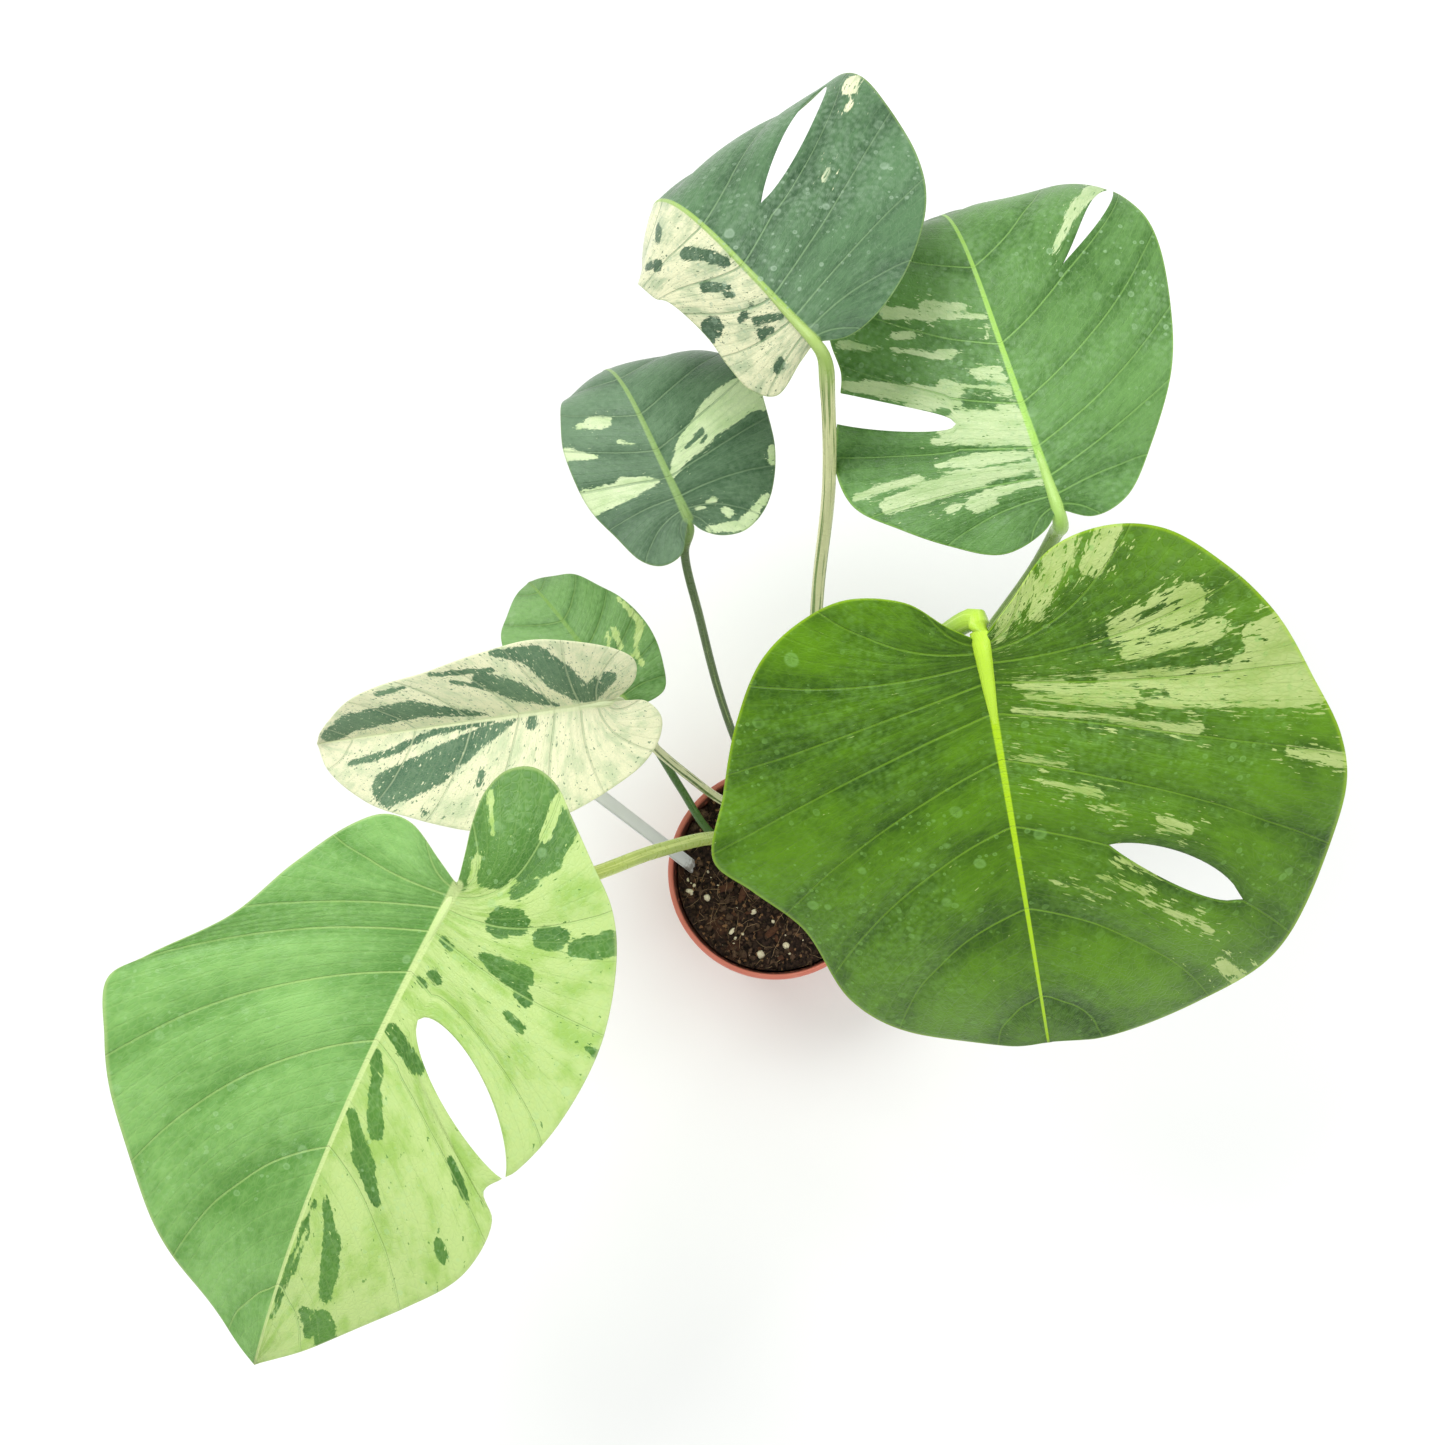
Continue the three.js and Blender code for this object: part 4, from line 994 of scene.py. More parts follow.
# Where each leaf is marbled. A streak follows the side veins: its first end and its last end, each
# as a share along the margin and a share out from the midrib, then its half width at both in mm.
# A half is green with cream streaks, or, where CREAM_HALVES names it, cream with green ones.
CREAM_HALVES = {("leaf_1", "left"), ("leaf_2", "left"), ("leaf_2", "right"), ("leaf_5", "left")}
MARBLING = {
    ("leaf_1", "left"): dict(
        green=[(0.03, 0.2, 0.04, 1, 2, 9), (0.08, 0.45, 0.08, 1, 5, 9), (0.12, 0.45, 0.12, 1, 8, 11),
               (0.17, 0.6, 0.17, 1, 9, 10), (0.21, 0.75, 0.21, 0.95, 8, 7),
               (0.23, 0.5, 0.23, 0.62, 3, 3), (0.3, 0.38, 0.3, 0.46, 7, 6),
               (0.33, 0.62, 0.33, 0.7, 5, 5), (0.345, 0.8, 0.345, 0.97, 4, 6),
               (0.41, 0.3, 0.41, 0.52, 2.5, 6), (0.44, 0.54, 0.44, 0.58, 3, 3),
               (0.48, 0.52, 0.48, 0.62, 1.6, 2.2), (0.44, 0.07, 0.44, 0.12, 1.5, 2),
               (0.53, 0.1, 0.53, 0.14, 2.5, 2), (0.56, 0.06, 0.56, 0.09, 1.8, 1.8),
               (0.455, 0.96, 0.455, 1, 2.5, 2.5), (0.66, 0.04, 0.66, 0.25, 3, 3.5),
               (0.69, 0.6, 0.69, 0.78, 1, 2), (0.7, 0.03, 0.76, 0.2, 2.5, 3.5),
               (0.745, 0.8, 0.745, 0.88, 2, 2.2), (0.77, 0.04, 0.79, 0.25, 2, 5),
               (0.79, 0.25, 0.8, 0.42, 5, 2), (0.845, 0.12, 0.865, 0.35, 1, 4.5),
               (0.865, 0.35, 0.895, 0.62, 4.5, 3), (0.925, 0.55, 0.925, 0.8, 3, 3),
               (0.905, 0.75, 0.905, 1, 5, 5), (0.86, 0.06, 0.945, 0.05, 0.8, 1.2),
               (0.88, 0.12, 0.96, 0.12, 0.7, 1)],
        cream=[(0.06, 0.35, 0.06, 0.7, 2, 1.5), (0.1, 0.75, 0.1, 0.98, 1, 1.2),
               (0.19, 0.8, 0.19, 1, 2.5, 2)]),
    ("leaf_2", "left"): dict(
        green=[(0.575, 0.04, 0.66, 0.17, 1, 5), (0.66, 0.17, 0.745, 0.48, 5, 9),
               (0.745, 0.48, 0.81, 0.75, 9, 9), (0.64, 0.03, 0.78, 0.07, 1.2, 1.6),
               (0.78, 0.07, 0.85, 0.28, 1.6, 2), (0.85, 0.28, 0.915, 0.6, 2, 1.2),
               (0.52, 0.04, 0.52, 0.1, 2, 2.5), (0.62, 0.5, 0.62, 0.58, 2, 1.5),
               (0.7, 0.92, 0.7, 0.95, 1.3, 1.3)]),
    ("leaf_2", "right"): dict(
        green=[(0.965, 0.5, 0.89, 0.6, 4, 6), (0.89, 0.6, 0.76, 0.42, 6, 6),
               (0.76, 0.42, 0.64, 0.08, 6, 0.8), (0.75, 0.88, 0.69, 0.86, 1.8, 1.2),
               (0.61, 0.95, 0.5, 0.75, 1.3, 1.6), (0.6, 0.75, 0.55, 0.5, 1.2, 1.8),
               (0.54, 0.66, 0.5, 0.35, 5, 6), (0.5, 0.35, 0.42, 0.06, 6, 0.8),
               (0.46, 0.96, 0.38, 0.8, 2, 6), (0.38, 0.8, 0.34, 0.45, 6, 8),
               (0.34, 0.45, 0.25, 0.15, 8, 5), (0.25, 0.15, 0.16, 0.55, 5, 4.5)],
        cream=[(0.19, 0.5, 0.2, 0.62, 1.2, 1.2)]),
    ("leaf_3", "right"): dict(
        cream=[(0.58, 0.97, 0.47, 0.93, 1, 2), (0.46, 0.92, 0.4, 0.6, 2, 1.2),
               (0.4, 0.6, 0.4, 0.3, 1.2, 1), (0.4, 0.6, 0.32, 0.62, 1.2, 1.4),
               (0.56, 0.55, 0.49, 0.45, 1.8, 1.5), (0.58, 0.45, 0.52, 0.2, 1, 0.8)]),
    ("leaf_4", "left"): dict(
        cream=[(0.665, 0.42, 0.665, 0.62, 3, 3.5), (0.645, 0.5, 0.65, 0.76, 1.2, 1.8),
               (0.59, 0.2, 0.6, 0.35, 0.7, 1), (0.545, 0.66, 0.55, 1, 1, 4.5),
               (0.445, 0.2, 0.44, 0.5, 1.2, 4), (0.43, 0.15, 0.42, 0.45, 1.5, 5),
               (0.42, 0.45, 0.405, 1, 5, 7)]),
    ("leaf_4", "right"): dict(
        cream=[(0.44, 0.03, 0.515, 0.25, 2, 5), (0.515, 0.25, 0.53, 0.55, 5, 9),
               (0.53, 0.55, 0.525, 0.85, 9, 10), (0.515, 0.8, 0.48, 0.97, 8, 5),
               (0.47, 0.12, 0.49, 0.4, 2, 4), (0.36, 0.97, 0.32, 0.97, 1.6, 2),
               (0.24, 0.97, 0.15, 0.93, 1.5, 3.5), (0.14, 0.95, 0.06, 0.9, 3, 2),
               (0.16, 0.6, 0.15, 0.68, 2, 2.5), (0.2, 0.33, 0.21, 0.4, 1.2, 1.8),
               (0.15, 0.2, 0.16, 0.27, 1, 1.2)],
        green=[(0.5, 0.22, 0.515, 0.38, 1.2, 1.6), (0.485, 0.35, 0.49, 0.4, 1.3, 1.3)]),
    ("leaf_5", "left"): dict(
        green=[(0.78, 0.3, 0.76, 0.35, 3, 4), (0.74, 0.75, 0.69, 0.6, 1.5, 2.5),
               (0.66, 0.32, 0.59, 0.08, 3.5, 2.5), (0.545, 0.45, 0.52, 0.27, 3, 2),
               (0.505, 0.34, 0.495, 0.3, 1.8, 1.6), (0.45, 0.2, 0.44, 0.28, 1, 1),
               (0.395, 0.78, 0.385, 0.9, 4.5, 4.5), (0.37, 0.93, 0.355, 0.97, 1.8, 1.8),
               (0.4, 0.5, 0.42, 0.38, 1.2, 2.2), (0.385, 0.35, 0.355, 0.08, 2.2, 1.5),
               (0.33, 0.42, 0.33, 0.28, 3, 1.5), (0.2, 0.5, 0.2, 0.6, 2.5, 2.5)]),
    ("leaf_5", "right"): dict(
        cream=[(0.535, 0.9, 0.54, 0.96, 4, 4), (0.52, 0.8, 0.52, 0.85, 1.3, 1.3),
               (0.49, 0.5, 0.49, 0.56, 1.3, 1.3)]),
    ("leaf_6", "left"): dict(
        cream=[(0.735, 0.03, 0.72, 0.35, 0.8, 2.5), (0.72, 0.35, 0.7, 0.65, 2.5, 3),
               (0.745, 0.15, 0.735, 0.4, 2, 2.5), (0.715, 0.04, 0.7, 0.06, 1.2, 1.2),
               (0.675, 0.5, 0.665, 0.6, 2, 2), (0.66, 0.28, 0.655, 0.34, 2.5, 2.5),
               (0.645, 0.35, 0.64, 0.62, 1.5, 1), (0.63, 0.72, 0.615, 0.95, 1.2, 1.8),
               (0.635, 0.06, 0.625, 0.2, 2, 1.8), (0.62, 0.05, 0.615, 0.18, 2, 1.5),
               (0.595, 0.04, 0.59, 0.4, 0.8, 2), (0.58, 0.04, 0.58, 0.3, 0.7, 0.7),
               (0.575, 0.35, 0.555, 0.65, 3, 4.5), (0.555, 0.65, 0.54, 0.97, 4.5, 3),
               (0.55, 0.35, 0.53, 0.6, 2.5, 2.5), (0.555, 0.04, 0.55, 0.13, 1.8, 1.5),
               (0.54, 0.04, 0.54, 0.1, 1.8, 1), (0.525, 0.04, 0.515, 0.36, 3, 4.5),
               (0.49, 0.03, 0.485, 0.42, 5, 4.5), (0.465, 0.03, 0.46, 0.5, 3, 1.5),
               (0.415, 0.05, 0.405, 0.3, 2, 3.5), (0.405, 0.3, 0.4, 0.5, 3.5, 1.5),
               (0.375, 0.6, 0.36, 0.95, 1.5, 2), (0.37, 0.04, 0.35, 0.4, 2, 5),
               (0.35, 0.4, 0.325, 0.85, 5, 4.5), (0.3, 0.05, 0.285, 0.3, 1.5, 2.5),
               (0.265, 0.4, 0.255, 0.5, 4.5, 4.5), (0.262, 0.6, 0.262, 0.66, 1.5, 1.5),
               (0.52, 0.03, 0.3, 0.04, 1.2, 1.4)]),
    ("leaf_6", "right"): dict(
        cream=[(0.725, 0.45, 0.725, 0.98, 1.2, 4.5)]),
    ("leaf_7", "left"): dict(
        cream=[(0.06, 0.25, 0.06, 1, 1.5, 6), (0.11, 0.5, 0.11, 1, 3, 6), (0.15, 0.8, 0.15, 1, 5, 5),
               (0.27, 0.55, 0.27, 0.8, 7, 8), (0.32, 0.5, 0.32, 0.8, 3.5, 5),
               (0.4, 0.08, 0.4, 0.5, 1.5, 7), (0.41, 0.5, 0.41, 1, 7, 11), (0.38, 0.85, 0.38, 1, 10, 13),
               (0.345, 0.9, 0.345, 1, 6, 8), (0.44, 0.1, 0.44, 0.4, 1, 2.5),
               (0.485, 0.06, 0.485, 0.3, 0.8, 1.4), (0.485, 0.3, 0.49, 0.56, 1.4, 2.6),
               (0.505, 0.82, 0.505, 1, 2.5, 4), (0.6, 0.05, 0.6, 0.17, 0.8, 1.2),
               (0.64, 0.1, 0.64, 0.25, 1, 1.5), (0.66, 0.25, 0.66, 0.36, 1.5, 0.8),
               (0.655, 0.42, 0.655, 0.52, 1.5, 2.3), (0.735, 0.3, 0.735, 0.45, 0.9, 1.8),
               (0.765, 0.25, 0.765, 0.42, 1, 1.4), (0.775, 0.42, 0.775, 0.62, 1, 1.7),
               (0.775, 0.62, 0.775, 0.72, 1.7, 1.2), (0.79, 0.1, 0.79, 0.3, 0.9, 1.1),
               (0.8, 0.85, 0.8, 1, 2, 3.5)],
        green=[(0.26, 0.62, 0.26, 0.72, 2, 2), (0.385, 0.25, 0.385, 0.33, 1.3, 1.6),
               (0.42, 0.45, 0.42, 0.52, 1.4, 1.4), (0.36, 0.75, 0.36, 0.82, 1.5, 1.5)]),
}


def marbling_field(name, leaf, half, x, y):
    """Signed depth in mm into the cream: above zero is cream, below is green. The streaks of the
    other colour are laid on the half's own colour first, then its own colour's over them."""
    creamy = (name, half) in CREAM_HALVES
    marks = MARBLING.get((name, half), {})
    field = np.full(x.shape, 30.0 if creamy else -30.0)
    for colour in ("green", "cream") if creamy else ("cream", "green"):
        for mark in marks.get(colour, ()):
            inside = streak(leaf, half, x, y, mark)
            field = np.maximum(field, inside) if colour == "cream" else np.minimum(field, -inside)
    return np.clip(field, -12, 12)


def half_sheet(name, leaf, half):
    """One half of the blade's upper face: points, depth of the rib below, texture shares, the values
    that the skin reads, and faces. Rows on a slit are there twice, once for each of its edges."""
    sign = 1 if half == "left" else -1
    slits = [slit["s"] for slit in leaf.get("slits", ()) if slit["side"] == half]
    plain = np.linspace(0, 1, FINE_ROWS + 1)
    for slit in slits:
        plain[np.abs(plain - slit).argmin()] = slit
    s = np.sort(np.concatenate([plain, slits]))
    edge = np.ones(len(s))
    twin = np.isclose(np.diff(s, append=2), 0)
    edge[twin] = -1
    t = np.linspace(0, 1, FINE_COLUMNS + 1) ** 1.25
    plan = plan_grid(leaf, half, s, t, edge)
    x, y = plan[..., 0], plan[..., 1]
    veins = leaf["veins"]
    start, _, end = vein_rows(leaf, half, s)
    gap = row_gap(leaf, half, s, t)
    off = np.abs((s * veins) % 1 - 0.5)[:, None] / veins * gap
    from_rib = np.hypot(np.minimum(x, 0), y) + 0.001
    reach = np.sin(np.pi * np.clip(t, 0, 1) ** 0.8)[None, :]
    panel = 1 - np.exp(-(off / (0.03 * leaf["width"])) ** 1.4)
    quilt = 0.009 * leaf["width"] * panel * reach
    ease = np.minimum(1, np.linalg.norm(end - start, axis=-1) / 40)[:, None]
    wave = MARGIN_WAVE * np.sin(2 * np.pi * (s[:, None] * 4.3 + 0.13 * sign)) * t[None, :] ** 3
    tip = np.clip(x / leaf["length"], 0, 1)
    rib = 0.9 * (1 - 0.75 * tip) * np.exp(-(from_rib / (2.4 - 1.2 * tip)) ** 2)
    lift = (quilt + wave) * ease + rib
    points = leaf_to_world(leaf, blade_points(leaf, half, x, y, lift))
    keel = 2.2 * (1 - 0.8 * tip) * np.exp(-(from_rib / (2.2 - 1.0 * tip)) ** 2)
    keel += 0.5 * np.exp(-(off / 0.8) ** 2) * (1 - t[None, :]) * ease
    depth = BLADE_THICKNESS + rib + keel
    uv = np.stack(np.broadcast_arrays(s[:, None], 0.5 + 0.5 * sign * t[None, :]), -1)
    creamy = np.full(x.shape, float((name, half) in CREAM_HALVES))
    values = dict(cream=marbling_field(name, leaf, half, x, y), rib=from_rib, vein_gap=gap, panel=panel,
                  creamy=creamy)
    cells = ~twin[:-1]
    i, j = np.meshgrid(np.arange(len(s) - 1)[cells], np.arange(len(t) - 1), indexing="ij")
    a = (i * len(t) + j).ravel()
    b, c, d = a + len(t), a + len(t) + 1, a + 1
    faces = np.vstack([np.stack([a, b, c], -1), np.stack([a, c, d], -1)])
    if half == "right":
        faces = faces[:, ::-1]
    values = {key: value.ravel() for key, value in values.items()}
    return points.reshape(-1, 3), depth.ravel(), uv.reshape(-1, 2), values, faces


def make_blade(name, leaf, materials):
    """The whole blade: both halves merged along the midrib, the same sheet again below, and a
    rounded rim between their free edges."""
    left, right = half_sheet(name, leaf, "left"), half_sheet(name, leaf, "right")
    points = np.vstack([left[0], right[0]])
    faces = np.vstack([left[4], right[4] + len(left[0])])
    depth = np.concatenate([left[1], right[1]])
    uv = np.vstack([left[2], right[2]])
    values = {k: np.concatenate([left[3][k], right[3][k]]) for k in left[3]}
    cells = np.round(points * MERGE_CELLS_A_METRE).astype(int)
    _, first, merged = np.unique(cells, axis=0, return_index=True, return_inverse=True)
    merged = merged.ravel()
    points, depth, uv = points[first], depth[first] * MM, uv[first]
    values = {k: v[first] for k, v in values.items()}
    faces = merged[faces]
    whole = (faces[:, 0] != faces[:, 1]) & (faces[:, 1] != faces[:, 2]) & (faces[:, 2] != faces[:, 0])
    faces = faces[whole]
    corner = points[faces]
    facing = np.cross(corner[:, 1] - corner[:, 0], corner[:, 2] - corner[:, 0])
    up = np.zeros_like(points)
    for n in range(3):
        np.add.at(up, faces[:, n], facing)
    up /= np.maximum(np.linalg.norm(up, axis=1, keepdims=True), 1e-15)
    below = points - up * depth[:, None]
    count = len(points)
    sides = np.vstack([faces[:, [0, 1]], faces[:, [1, 2]], faces[:, [2, 0]]])
    code = sides[:, 0] * count + sides[:, 1]
    back = sides[:, 1] * count + sides[:, 0]
    free = sides[~np.isin(code, back)]
    outward = np.zeros_like(points)
    run = points[free[:, 1]] - points[free[:, 0]]
    away = np.cross(run, (up[free[:, 0]] + up[free[:, 1]]) / 2)
    for n in range(2):
        np.add.at(outward, free[:, n], away)
    size = np.linalg.norm(outward, axis=1, keepdims=True)
    outward = np.where(size > 0, outward / np.maximum(size, 1e-15), 0)
    edge_points = np.unique(free)
    slot_of = np.full(count, -1)
    slot_of[edge_points] = np.arange(len(edge_points)) + 2 * count
    middle = (points[edge_points] + below[edge_points]) / 2
    middle = middle + outward[edge_points] * 0.45 * depth[edge_points][:, None]
    f, g = free[:, 0], free[:, 1]
    rim_top = np.stack([f, slot_of[f], slot_of[g], g], -1)
    rim_low = np.stack([slot_of[f], f + count, g + count, slot_of[g]], -1)
    every = np.vstack([points, below, middle])
    triangles = np.vstack([faces, faces[:, ::-1] + count])
    mesh_faces = triangles.tolist() + rim_top.tolist() + rim_low.tolist()
    piece = make_piece(name + "_blade", every, mesh_faces, materials, [name])
    mesh = piece.data
    source = np.concatenate([np.arange(count), np.arange(count), edge_points])
    for key, value in values.items():
        attribute = mesh.attributes.new(key, "FLOAT", "POINT")
        attribute.data.foreach_set("value", value[source].astype(np.float32))
    loops = np.empty(len(mesh.loops), int)
    mesh.loops.foreach_get("vertex_index", loops)
    layer = mesh.uv_layers.new(name="shares")
    layer.data.foreach_set("uv", uv[source][loops].ravel().astype(np.float32))
    under = np.zeros(len(mesh.polygons), int)
    under[len(faces):2 * len(faces)] = 1
    under[2 * len(faces) + len(rim_top):] = 1
    mesh.polygons.foreach_set("material_index", under)
    mesh.update()
    return piece


def drawn_noise(tree, shares, along, out, detail, rough):
    """Noise drawn out along the veins: its scale along the margin and its scale out."""
    drawn = put(tree, "Mapping", {"Vector": shares, "Scale": (along, out, 1)}).outputs[0]
    return noise(tree, drawn, 1, detail, rough)


def marbling_group():
    """Cream where the field is above zero, with edges torn along the veins and flecks beside
    them. Shares are the skin's places along the margin and out from the midrib."""
    group, given, result = group_of(
        "marbling", [("Field", "Float", 0.0), ("Shares", "Vector", None), ("Ragged", "Float", 6.0),
                     ("Flecks", "Float", 0.5), ("Specks", "Float", 0.0)],
        [("Cream", "Float"), ("Depth", "Float")])
    shares = given.outputs["Shares"]
    torn = drawn_noise(group, shares, 52, 9, 5, 0.6)
    fine = drawn_noise(group, shares, 210, 42, 4, 0.65)
    pull = maths(group, "MULTIPLY", maths(group, "SUBTRACT", torn, 0.5), given.outputs["Ragged"])
    pull = maths(group, "MULTIPLY", pull, 3.0)
    small = maths(group, "MULTIPLY", maths(group, "SUBTRACT", fine, 0.5), 3.2)
    depth = maths(group, "ADD", given.outputs["Field"], maths(group, "ADD", pull, small))
    solid = ramp(group, depth, -0.35, 0.35)
    speck = drawn_noise(group, shares, 190, 30, 3, 0.6)
    level = maths(group, "SUBTRACT", 0.82, maths(group, "MULTIPLY", given.outputs["Flecks"], 0.26))
    away = maths(group, "MULTIPLY", maths(group, "ABSOLUTE", depth), 0.012)
    fleck = ramp(group, maths(group, "SUBTRACT", speck, maths(group, "ADD", level, away)), -0.01, 0.01)
    flip = maths(group, "SUBTRACT", 1.0, maths(group, "MULTIPLY", solid, 2.0))
    cream = maths(group, "ADD", solid, maths(group, "MULTIPLY", fleck, flip))
    dust = drawn_noise(group, shares, 120, 40, 3, 0.55)
    least = maths(group, "SUBTRACT", 0.80, maths(group, "MULTIPLY", given.outputs["Specks"], 0.14))
    speckled = ramp(group, maths(group, "SUBTRACT", dust, least), -0.01, 0.02)
    kept = maths(group, "SUBTRACT", 1.0, maths(group, "MULTIPLY", speckled, 0.85))
    cream = maths(group, "MULTIPLY", cream, kept)
    group.links.new(cream, result.inputs["Cream"])
    group.links.new(depth, result.inputs["Depth"])
    return group


def vein_group():
    """Side veins at even shares of the margin, finer ones between them, and the net of tiny veins.
    Main and Fine are masks; Height is their relief with the net's cells."""
    group, given, result = group_of(
        "side veins", [("Shares", "Vector", None), ("Gap", "Float", 100.0), ("Count", "Float", 9.0)],
        [("Main", "Float"), ("Fine", "Float"), ("Net", "Float"), ("Height", "Float")])
    shares = given.outputs["Shares"]
    split = put(group, "SeparateXYZ", {0: shares})
    sway = maths(group, "MULTIPLY", maths(group, "SUBTRACT", noise(group, shares, 5, 1), 0.5), 0.008)
    along = maths(group, "ADD", split.outputs["X"], sway)

    def lines(count, width):
        turns = maths(group, "FRACT", maths(group, "MULTIPLY", along, count))
        off = maths(group, "DIVIDE", maths(group, "ABSOLUTE", maths(group, "SUBTRACT", turns, 0.5)), count)
        gap = maths(group, "MULTIPLY", off, given.outputs["Gap"])
        return maths(group, "SUBTRACT", 1.0, ramp(group, gap, width * 0.35, width))

    main = lines(given.outputs["Count"], 0.7)
    fine = lines(maths(group, "MULTIPLY", given.outputs["Count"], 5.0), 0.6)
    stretched = put(group, "Mapping", {"Vector": shares, "Scale": (150, 60, 1)}).outputs[0]
    net = put(group, "TexVoronoi", {"Vector": stretched, "Scale": 1.0}, feature="DISTANCE_TO_EDGE").outputs[0]
    net = maths(group, "SUBTRACT", 1.0, ramp(group, net, 0.02, 0.16))
    height = maths(group, "ADD", maths(group, "MULTIPLY", main, -0.5), maths(group, "MULTIPLY", fine, -0.25))
    height = maths(group, "ADD", height, maths(group, "MULTIPLY", net, -0.2))
    for label, value in (("Main", main), ("Fine", fine), ("Net", net), ("Height", height)):
        group.links.new(value, result.inputs[label])
    return group


def water_group():
    """Pale marks that hard water leaves as its drops dry: round spots of two sizes, each a faint
    disc with a stronger edge, on only some of the places that they could take."""
    group, given, result = group_of(
        "water marks", [("Place", "Vector", None)], [("Marks", "Float"), ("Mist", "Float")])
    where = given.outputs["Place"]
    shake = put(group, "TexNoise", {"Vector": where, "Scale": 220.0}).outputs["Color"]
    bent = put(group, "MixRGB", {0: 0.0012, 1: where, 2: shake}).outputs[0]
    total = None
    for scale, reach in ((90.0, 0.30), (190.0, 0.34), (330.0, 0.36)):
        cell = put(group, "TexVoronoi", {"Vector": bent, "Scale": scale, "Randomness": 0.9})
        pick = put(group, "SeparateColor", {0: cell.outputs["Color"]})
        size = maths(group, "MULTIPLY", pick.outputs[0], reach)
        distance = maths(group, "SUBTRACT", cell.outputs["Distance"], size)
        disc = maths(group, "SUBTRACT", 1.0, ramp(group, distance, -0.06, 0.03))
        core = maths(group, "SUBTRACT", 1.0, ramp(group, distance, -0.2, -0.05))
        mark = maths(group, "SUBTRACT", disc, maths(group, "MULTIPLY", core, 0.45))
        mark = maths(group, "MULTIPLY", mark, ramp(group, pick.outputs[1], 0.45, 0.75))
        total = mark if total is None else maths(group, "MAXIMUM", total, mark)
    fade = ramp(group, noise(group, where, 16, 3), 0.35, 0.65)
    cell = put(group, "TexVoronoi", {"Vector": bent, "Scale": 420.0}, feature="SMOOTH_F1").outputs["Distance"]
    mist = maths(group, "SUBTRACT", 1.0, ramp(group, cell, 0.15, 0.62))
    mist = maths(group, "MULTIPLY", mist, ramp(group, noise(group, where, 22, 4), 0.3, 0.72))
    group.links.new(mist, result.inputs["Mist"])
    group.links.new(maths(group, "MULTIPLY", total, fade), result.inputs["Marks"])
    return group


marbling, side_veins, water_marks = marbling_group(), vein_group(), water_group()


# Each leaf's own colours: deep and light green, cream, rib and side veins, then how strong its
# water marks are, how ragged and flecked its marbling is, and how many side veins a half has.
SKINS = {
    "leaf_1": dict(deep="588c3c", light="8bbd69", cream="b6ce80", cream_deep="97bb5a", spot_deep="3c6a26",
                   spot="5a8a38", rib="c8dc92", vein="a5c874", dust="a4cc90", marks=0.55, ragged=2.1,
                   flecks=0.65, specks=0.85, veins=8),
    "leaf_2": dict(deep="4a6b52", light="72916f", cream="f4f1cc", cream_deep="d2dcb4", spot_deep="4a6d52",
                   spot="6e8e6c", rib="e6ecbf", vein="b9c8a0", dust="a9bda0", marks=0.25, ragged=1.4,
                   flecks=0.85, specks=1.1, veins=8),
    "leaf_3": dict(deep="3f6e2c", light="83ae68", cream="cbe094", cream_deep="b2cc78", spot_deep="567a42",
                   spot="82a868", rib="7fa652", vein="7ba055", dust="a6c296", marks=0.45, ragged=1.7,
                   flecks=0.6, specks=0.3, veins=7),
    "leaf_4": dict(deep="3d5b3f", light="6d8b6a", cream="d2e2b2", cream_deep="bdd49c", spot_deep="466349",
                   spot="6f8b6f", rib="8fae68", vein="7f9a74", dust="8fa88c", marks=0.5, ragged=1.5,
                   flecks=0.65, specks=0.3, veins=8),
    "leaf_5": dict(deep="325034", light="5b8057", cream="ecebc2", cream_deep="b6c49c", spot_deep="3c5740",
                   spot="4f6d4e", rib="9dbf5f", vein="7f9f72", dust="9db69a", marks=0.95, ragged=1.6,
                   flecks=0.75, specks=1.1, veins=8),
    "leaf_6": dict(deep="325c20", light="6a9752", cream="c6d8a4", cream_deep="aec88c", spot_deep="557f40",
                   spot="7fa065", rib="a9d864", vein="8ab862", dust="9cc090", marks=0.9, ragged=2.2,
                   flecks=0.75, specks=0.3, veins=8),
    "leaf_7": dict(deep="264a02", light="5b8b06", cream="b1c478", cream_deep="99b25c", spot_deep="3f6a17",
                   spot="5a8a22", rib="b4de1c", vein="739f26", dust="83b35c", marks=0.8, ragged=2.2,
                   flecks=0.95, specks=0.3, veins=9),
}


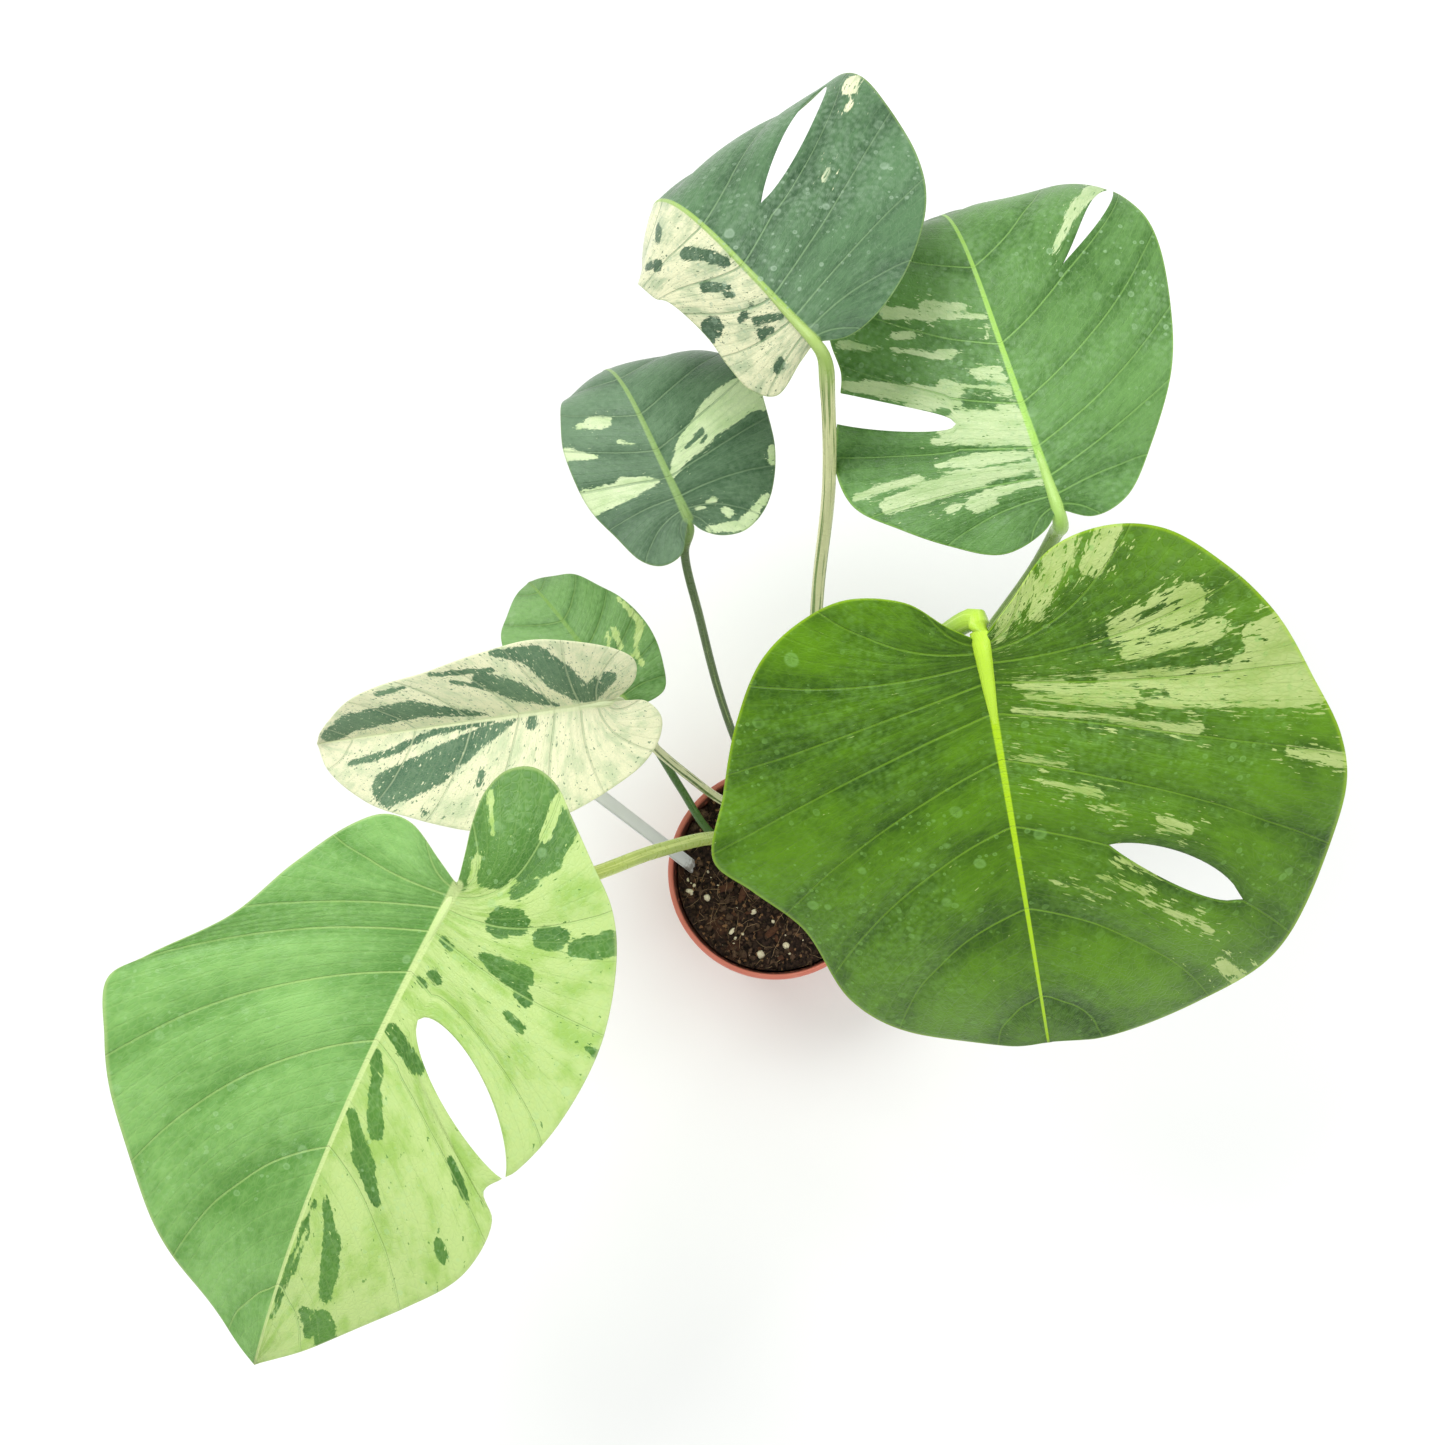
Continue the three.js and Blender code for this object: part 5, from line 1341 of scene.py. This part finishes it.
def blade_skin(name, look, under):
    """Leaf skin: greens that drift over the blade, painted lighter on the quilted panels and darker
    along the side veins as painted shade, cream marbling, the pale rib and side veins, water marks
    and a thin pale margin. Below, all of it is paler."""
    material, tree, shader = finish(
        name + ("_underside" if under else "_skin"), 0.62 if under else 0.4, specular=0.22)
    shares = put(tree, "UVMap", uv_map="shares").outputs[0]
    at = place(tree)
    value = {k: put(tree, "Attribute", attribute_name=k).outputs["Fac"]
             for k in ("cream", "rib", "vein_gap", "panel", "creamy")}
    marbled = use_group(tree, marbling, {"Field": value["cream"], "Shares": shares, "Ragged": look["ragged"],
                                         "Flecks": look["flecks"], "Specks": look["specks"]})
    veins = use_group(tree, side_veins, {"Shares": shares, "Gap": value["vein_gap"],
                                         "Count": float(look["veins"])})
    drift = noise(tree, at, 14, 3)
    water = use_group(tree, water_marks, {"Place": at})
    mottle = drawn_noise(tree, shares, 60, 20, 4, 0.55)
    mixed = maths(tree, "ADD", maths(tree, "MULTIPLY", drift, 0.55), maths(tree, "MULTIPLY", mottle, 0.3))
    # Painted light and shade: the green is lighter on the quilted panels, which bulge up between the side
    # veins, and darker in the grooves along the veins.
    mixed = maths(tree, "ADD", mixed, maths(tree, "MULTIPLY", value["panel"], 0.12))
    share = ramp(tree, mixed, 0.3, 0.68)
    green = blend(tree, share, tone(look["deep"]), tone(look["light"]))
    spot = blend(tree, share, tone(look["spot_deep"]), tone(look["spot"]))
    green = blend(tree, value["creamy"], green, spot)
    patch = drawn_noise(tree, shares, 26, 7, 5, 0.6)
    worn = blend(tree, ramp(tree, patch, 0.42, 0.68), tone(look["cream"]), tone(look["cream_deep"]))
    skin = blend(tree, marbled["Cream"], green, worn)
    split = put(tree, "SeparateXYZ", {0: shares}).outputs
    out = maths(tree, "ABSOLUTE", maths(tree, "SUBTRACT", split["Y"], 0.5))
    side = maths(tree, "MULTIPLY", veins["Main"], maths(tree, "SUBTRACT", 0.75, out))
    skin = blend(tree, side, skin, tone(look["vein"]))
    skin = blend(tree, maths(tree, "MULTIPLY", veins["Fine"], 0.08), skin, tone(look["vein"]))
    skin = blend(tree, maths(tree, "MULTIPLY", veins["Net"], 0.10), skin, tone(look["vein"]))
    margin = maths(tree, "MULTIPLY", ramp(tree, out, 0.492, 0.499), 0.35)
    skin = blend(tree, margin, skin, tone(look["rib"]))
    width = put(tree, "MapRange", {"Value": split["X"], "To Min": 3.4, "To Max": 0.7}).outputs[0]
    rib = maths(tree, "SUBTRACT", 1.0, ramp(tree, maths(tree, "DIVIDE", value["rib"], width), 0.55, 1.0))
    skin = blend(tree, maths(tree, "MULTIPLY", rib, 0.9), skin, tone(look["rib"]))
    if under:
        skin = blend(tree, 0.38, skin, tone("a9cc90"))
        raise_bump(tree, shader, maths(tree, "MULTIPLY", veins["Height"], -1.0), 0.0005)
    else:
        faint = maths(tree, "ADD", maths(tree, "MULTIPLY", water["Marks"], 0.6),
                      maths(tree, "MULTIPLY", water["Mist"], 0.3))
        skin = blend(tree, maths(tree, "MULTIPLY", faint, look["marks"]), skin, tone(look["dust"]))
        dull = maths(tree, "ADD", maths(tree, "MULTIPLY", water["Marks"], 0.6), mottle)
        tree.links.new(ramp(tree, dull, -0.9, 2.6), shader.inputs["Roughness"])
        raise_bump(tree, shader, veins["Height"], 0.0004)
    tree.links.new(skin, shader.inputs["Base Color"])
    return material


for name, leaf in LEAVES.items():
    look = SKINS[name]
    leaf["veins"] = look["veins"]
    skins = [blade_skin(name, look, False), blade_skin(name, look, True)]
    make_blade(name, leaf, skins)

# ---- Floor, light and camera ------------------------------------------------
# A plain pale floor under soft studio light, seen from almost straight above.
floor_mesh = bpy.data.meshes.new("floor")
FLOOR_REACH = 4
FLOOR_DROP = 0.0002
floor_corners = [(x * FLOOR_REACH, y * FLOOR_REACH, 0) for x, y in ((-1, -1), (1, -1), (1, 1), (-1, 1))]
floor_mesh.from_pydata(floor_corners, [], [(0, 1, 2, 3)])
floor = bpy.data.objects.new("floor", floor_mesh)
floor.location.z = -FLOOR_DROP
bpy.context.collection.objects.link(floor)
floor_paint, tree, shader = finish("floor_paint", 0.8, "f4f4f2", 0.2)
floor_mesh.materials.append(floor_paint)

world = bpy.data.worlds.new("studio")
bpy.context.scene.world = world
world.use_nodes = True
world.node_tree.nodes["Background"].inputs["Color"].default_value = (0.97, 0.985, 1.0, 1.0)
world.node_tree.nodes["Background"].inputs["Strength"].default_value = 0.75
LIGHTS = (("key_light", (-0.9, 0.9, 2.0), 1.2, 30.0), ("fill_light", (1.2, -0.6, 1.9), 1.4, 14.0))
LIT_MIDDLE = [0, 0.05, 0.25]
for label, where, size, power in LIGHTS:
    data = bpy.data.lights.new(label, "AREA")
    data.size = size
    data.energy = power
    lamp = bpy.data.objects.new(label, data)
    lamp.location = where
    aim = np.array(LIT_MIDDLE) - where
    lamp.rotation_euler = (math.atan2(math.hypot(aim[0], aim[1]), -aim[2]), 0,
                           math.atan2(aim[1], aim[0]) - math.pi / 2)
    bpy.context.collection.objects.link(lamp)

CAMERA_TILT = math.radians(13)
CAMERA_PLACE = (-0.0294, -0.1363, 1.053)
camera_data = bpy.data.cameras.new("camera")
camera_data.lens = 43
camera_data.sensor_width = 36
camera = bpy.data.objects.new("camera", camera_data)
camera.location = CAMERA_PLACE
camera.rotation_euler = (CAMERA_TILT, 0, 0)
bpy.context.collection.objects.link(camera)
bpy.context.scene.camera = camera
bpy.context.scene.view_settings.view_transform = "Standard"
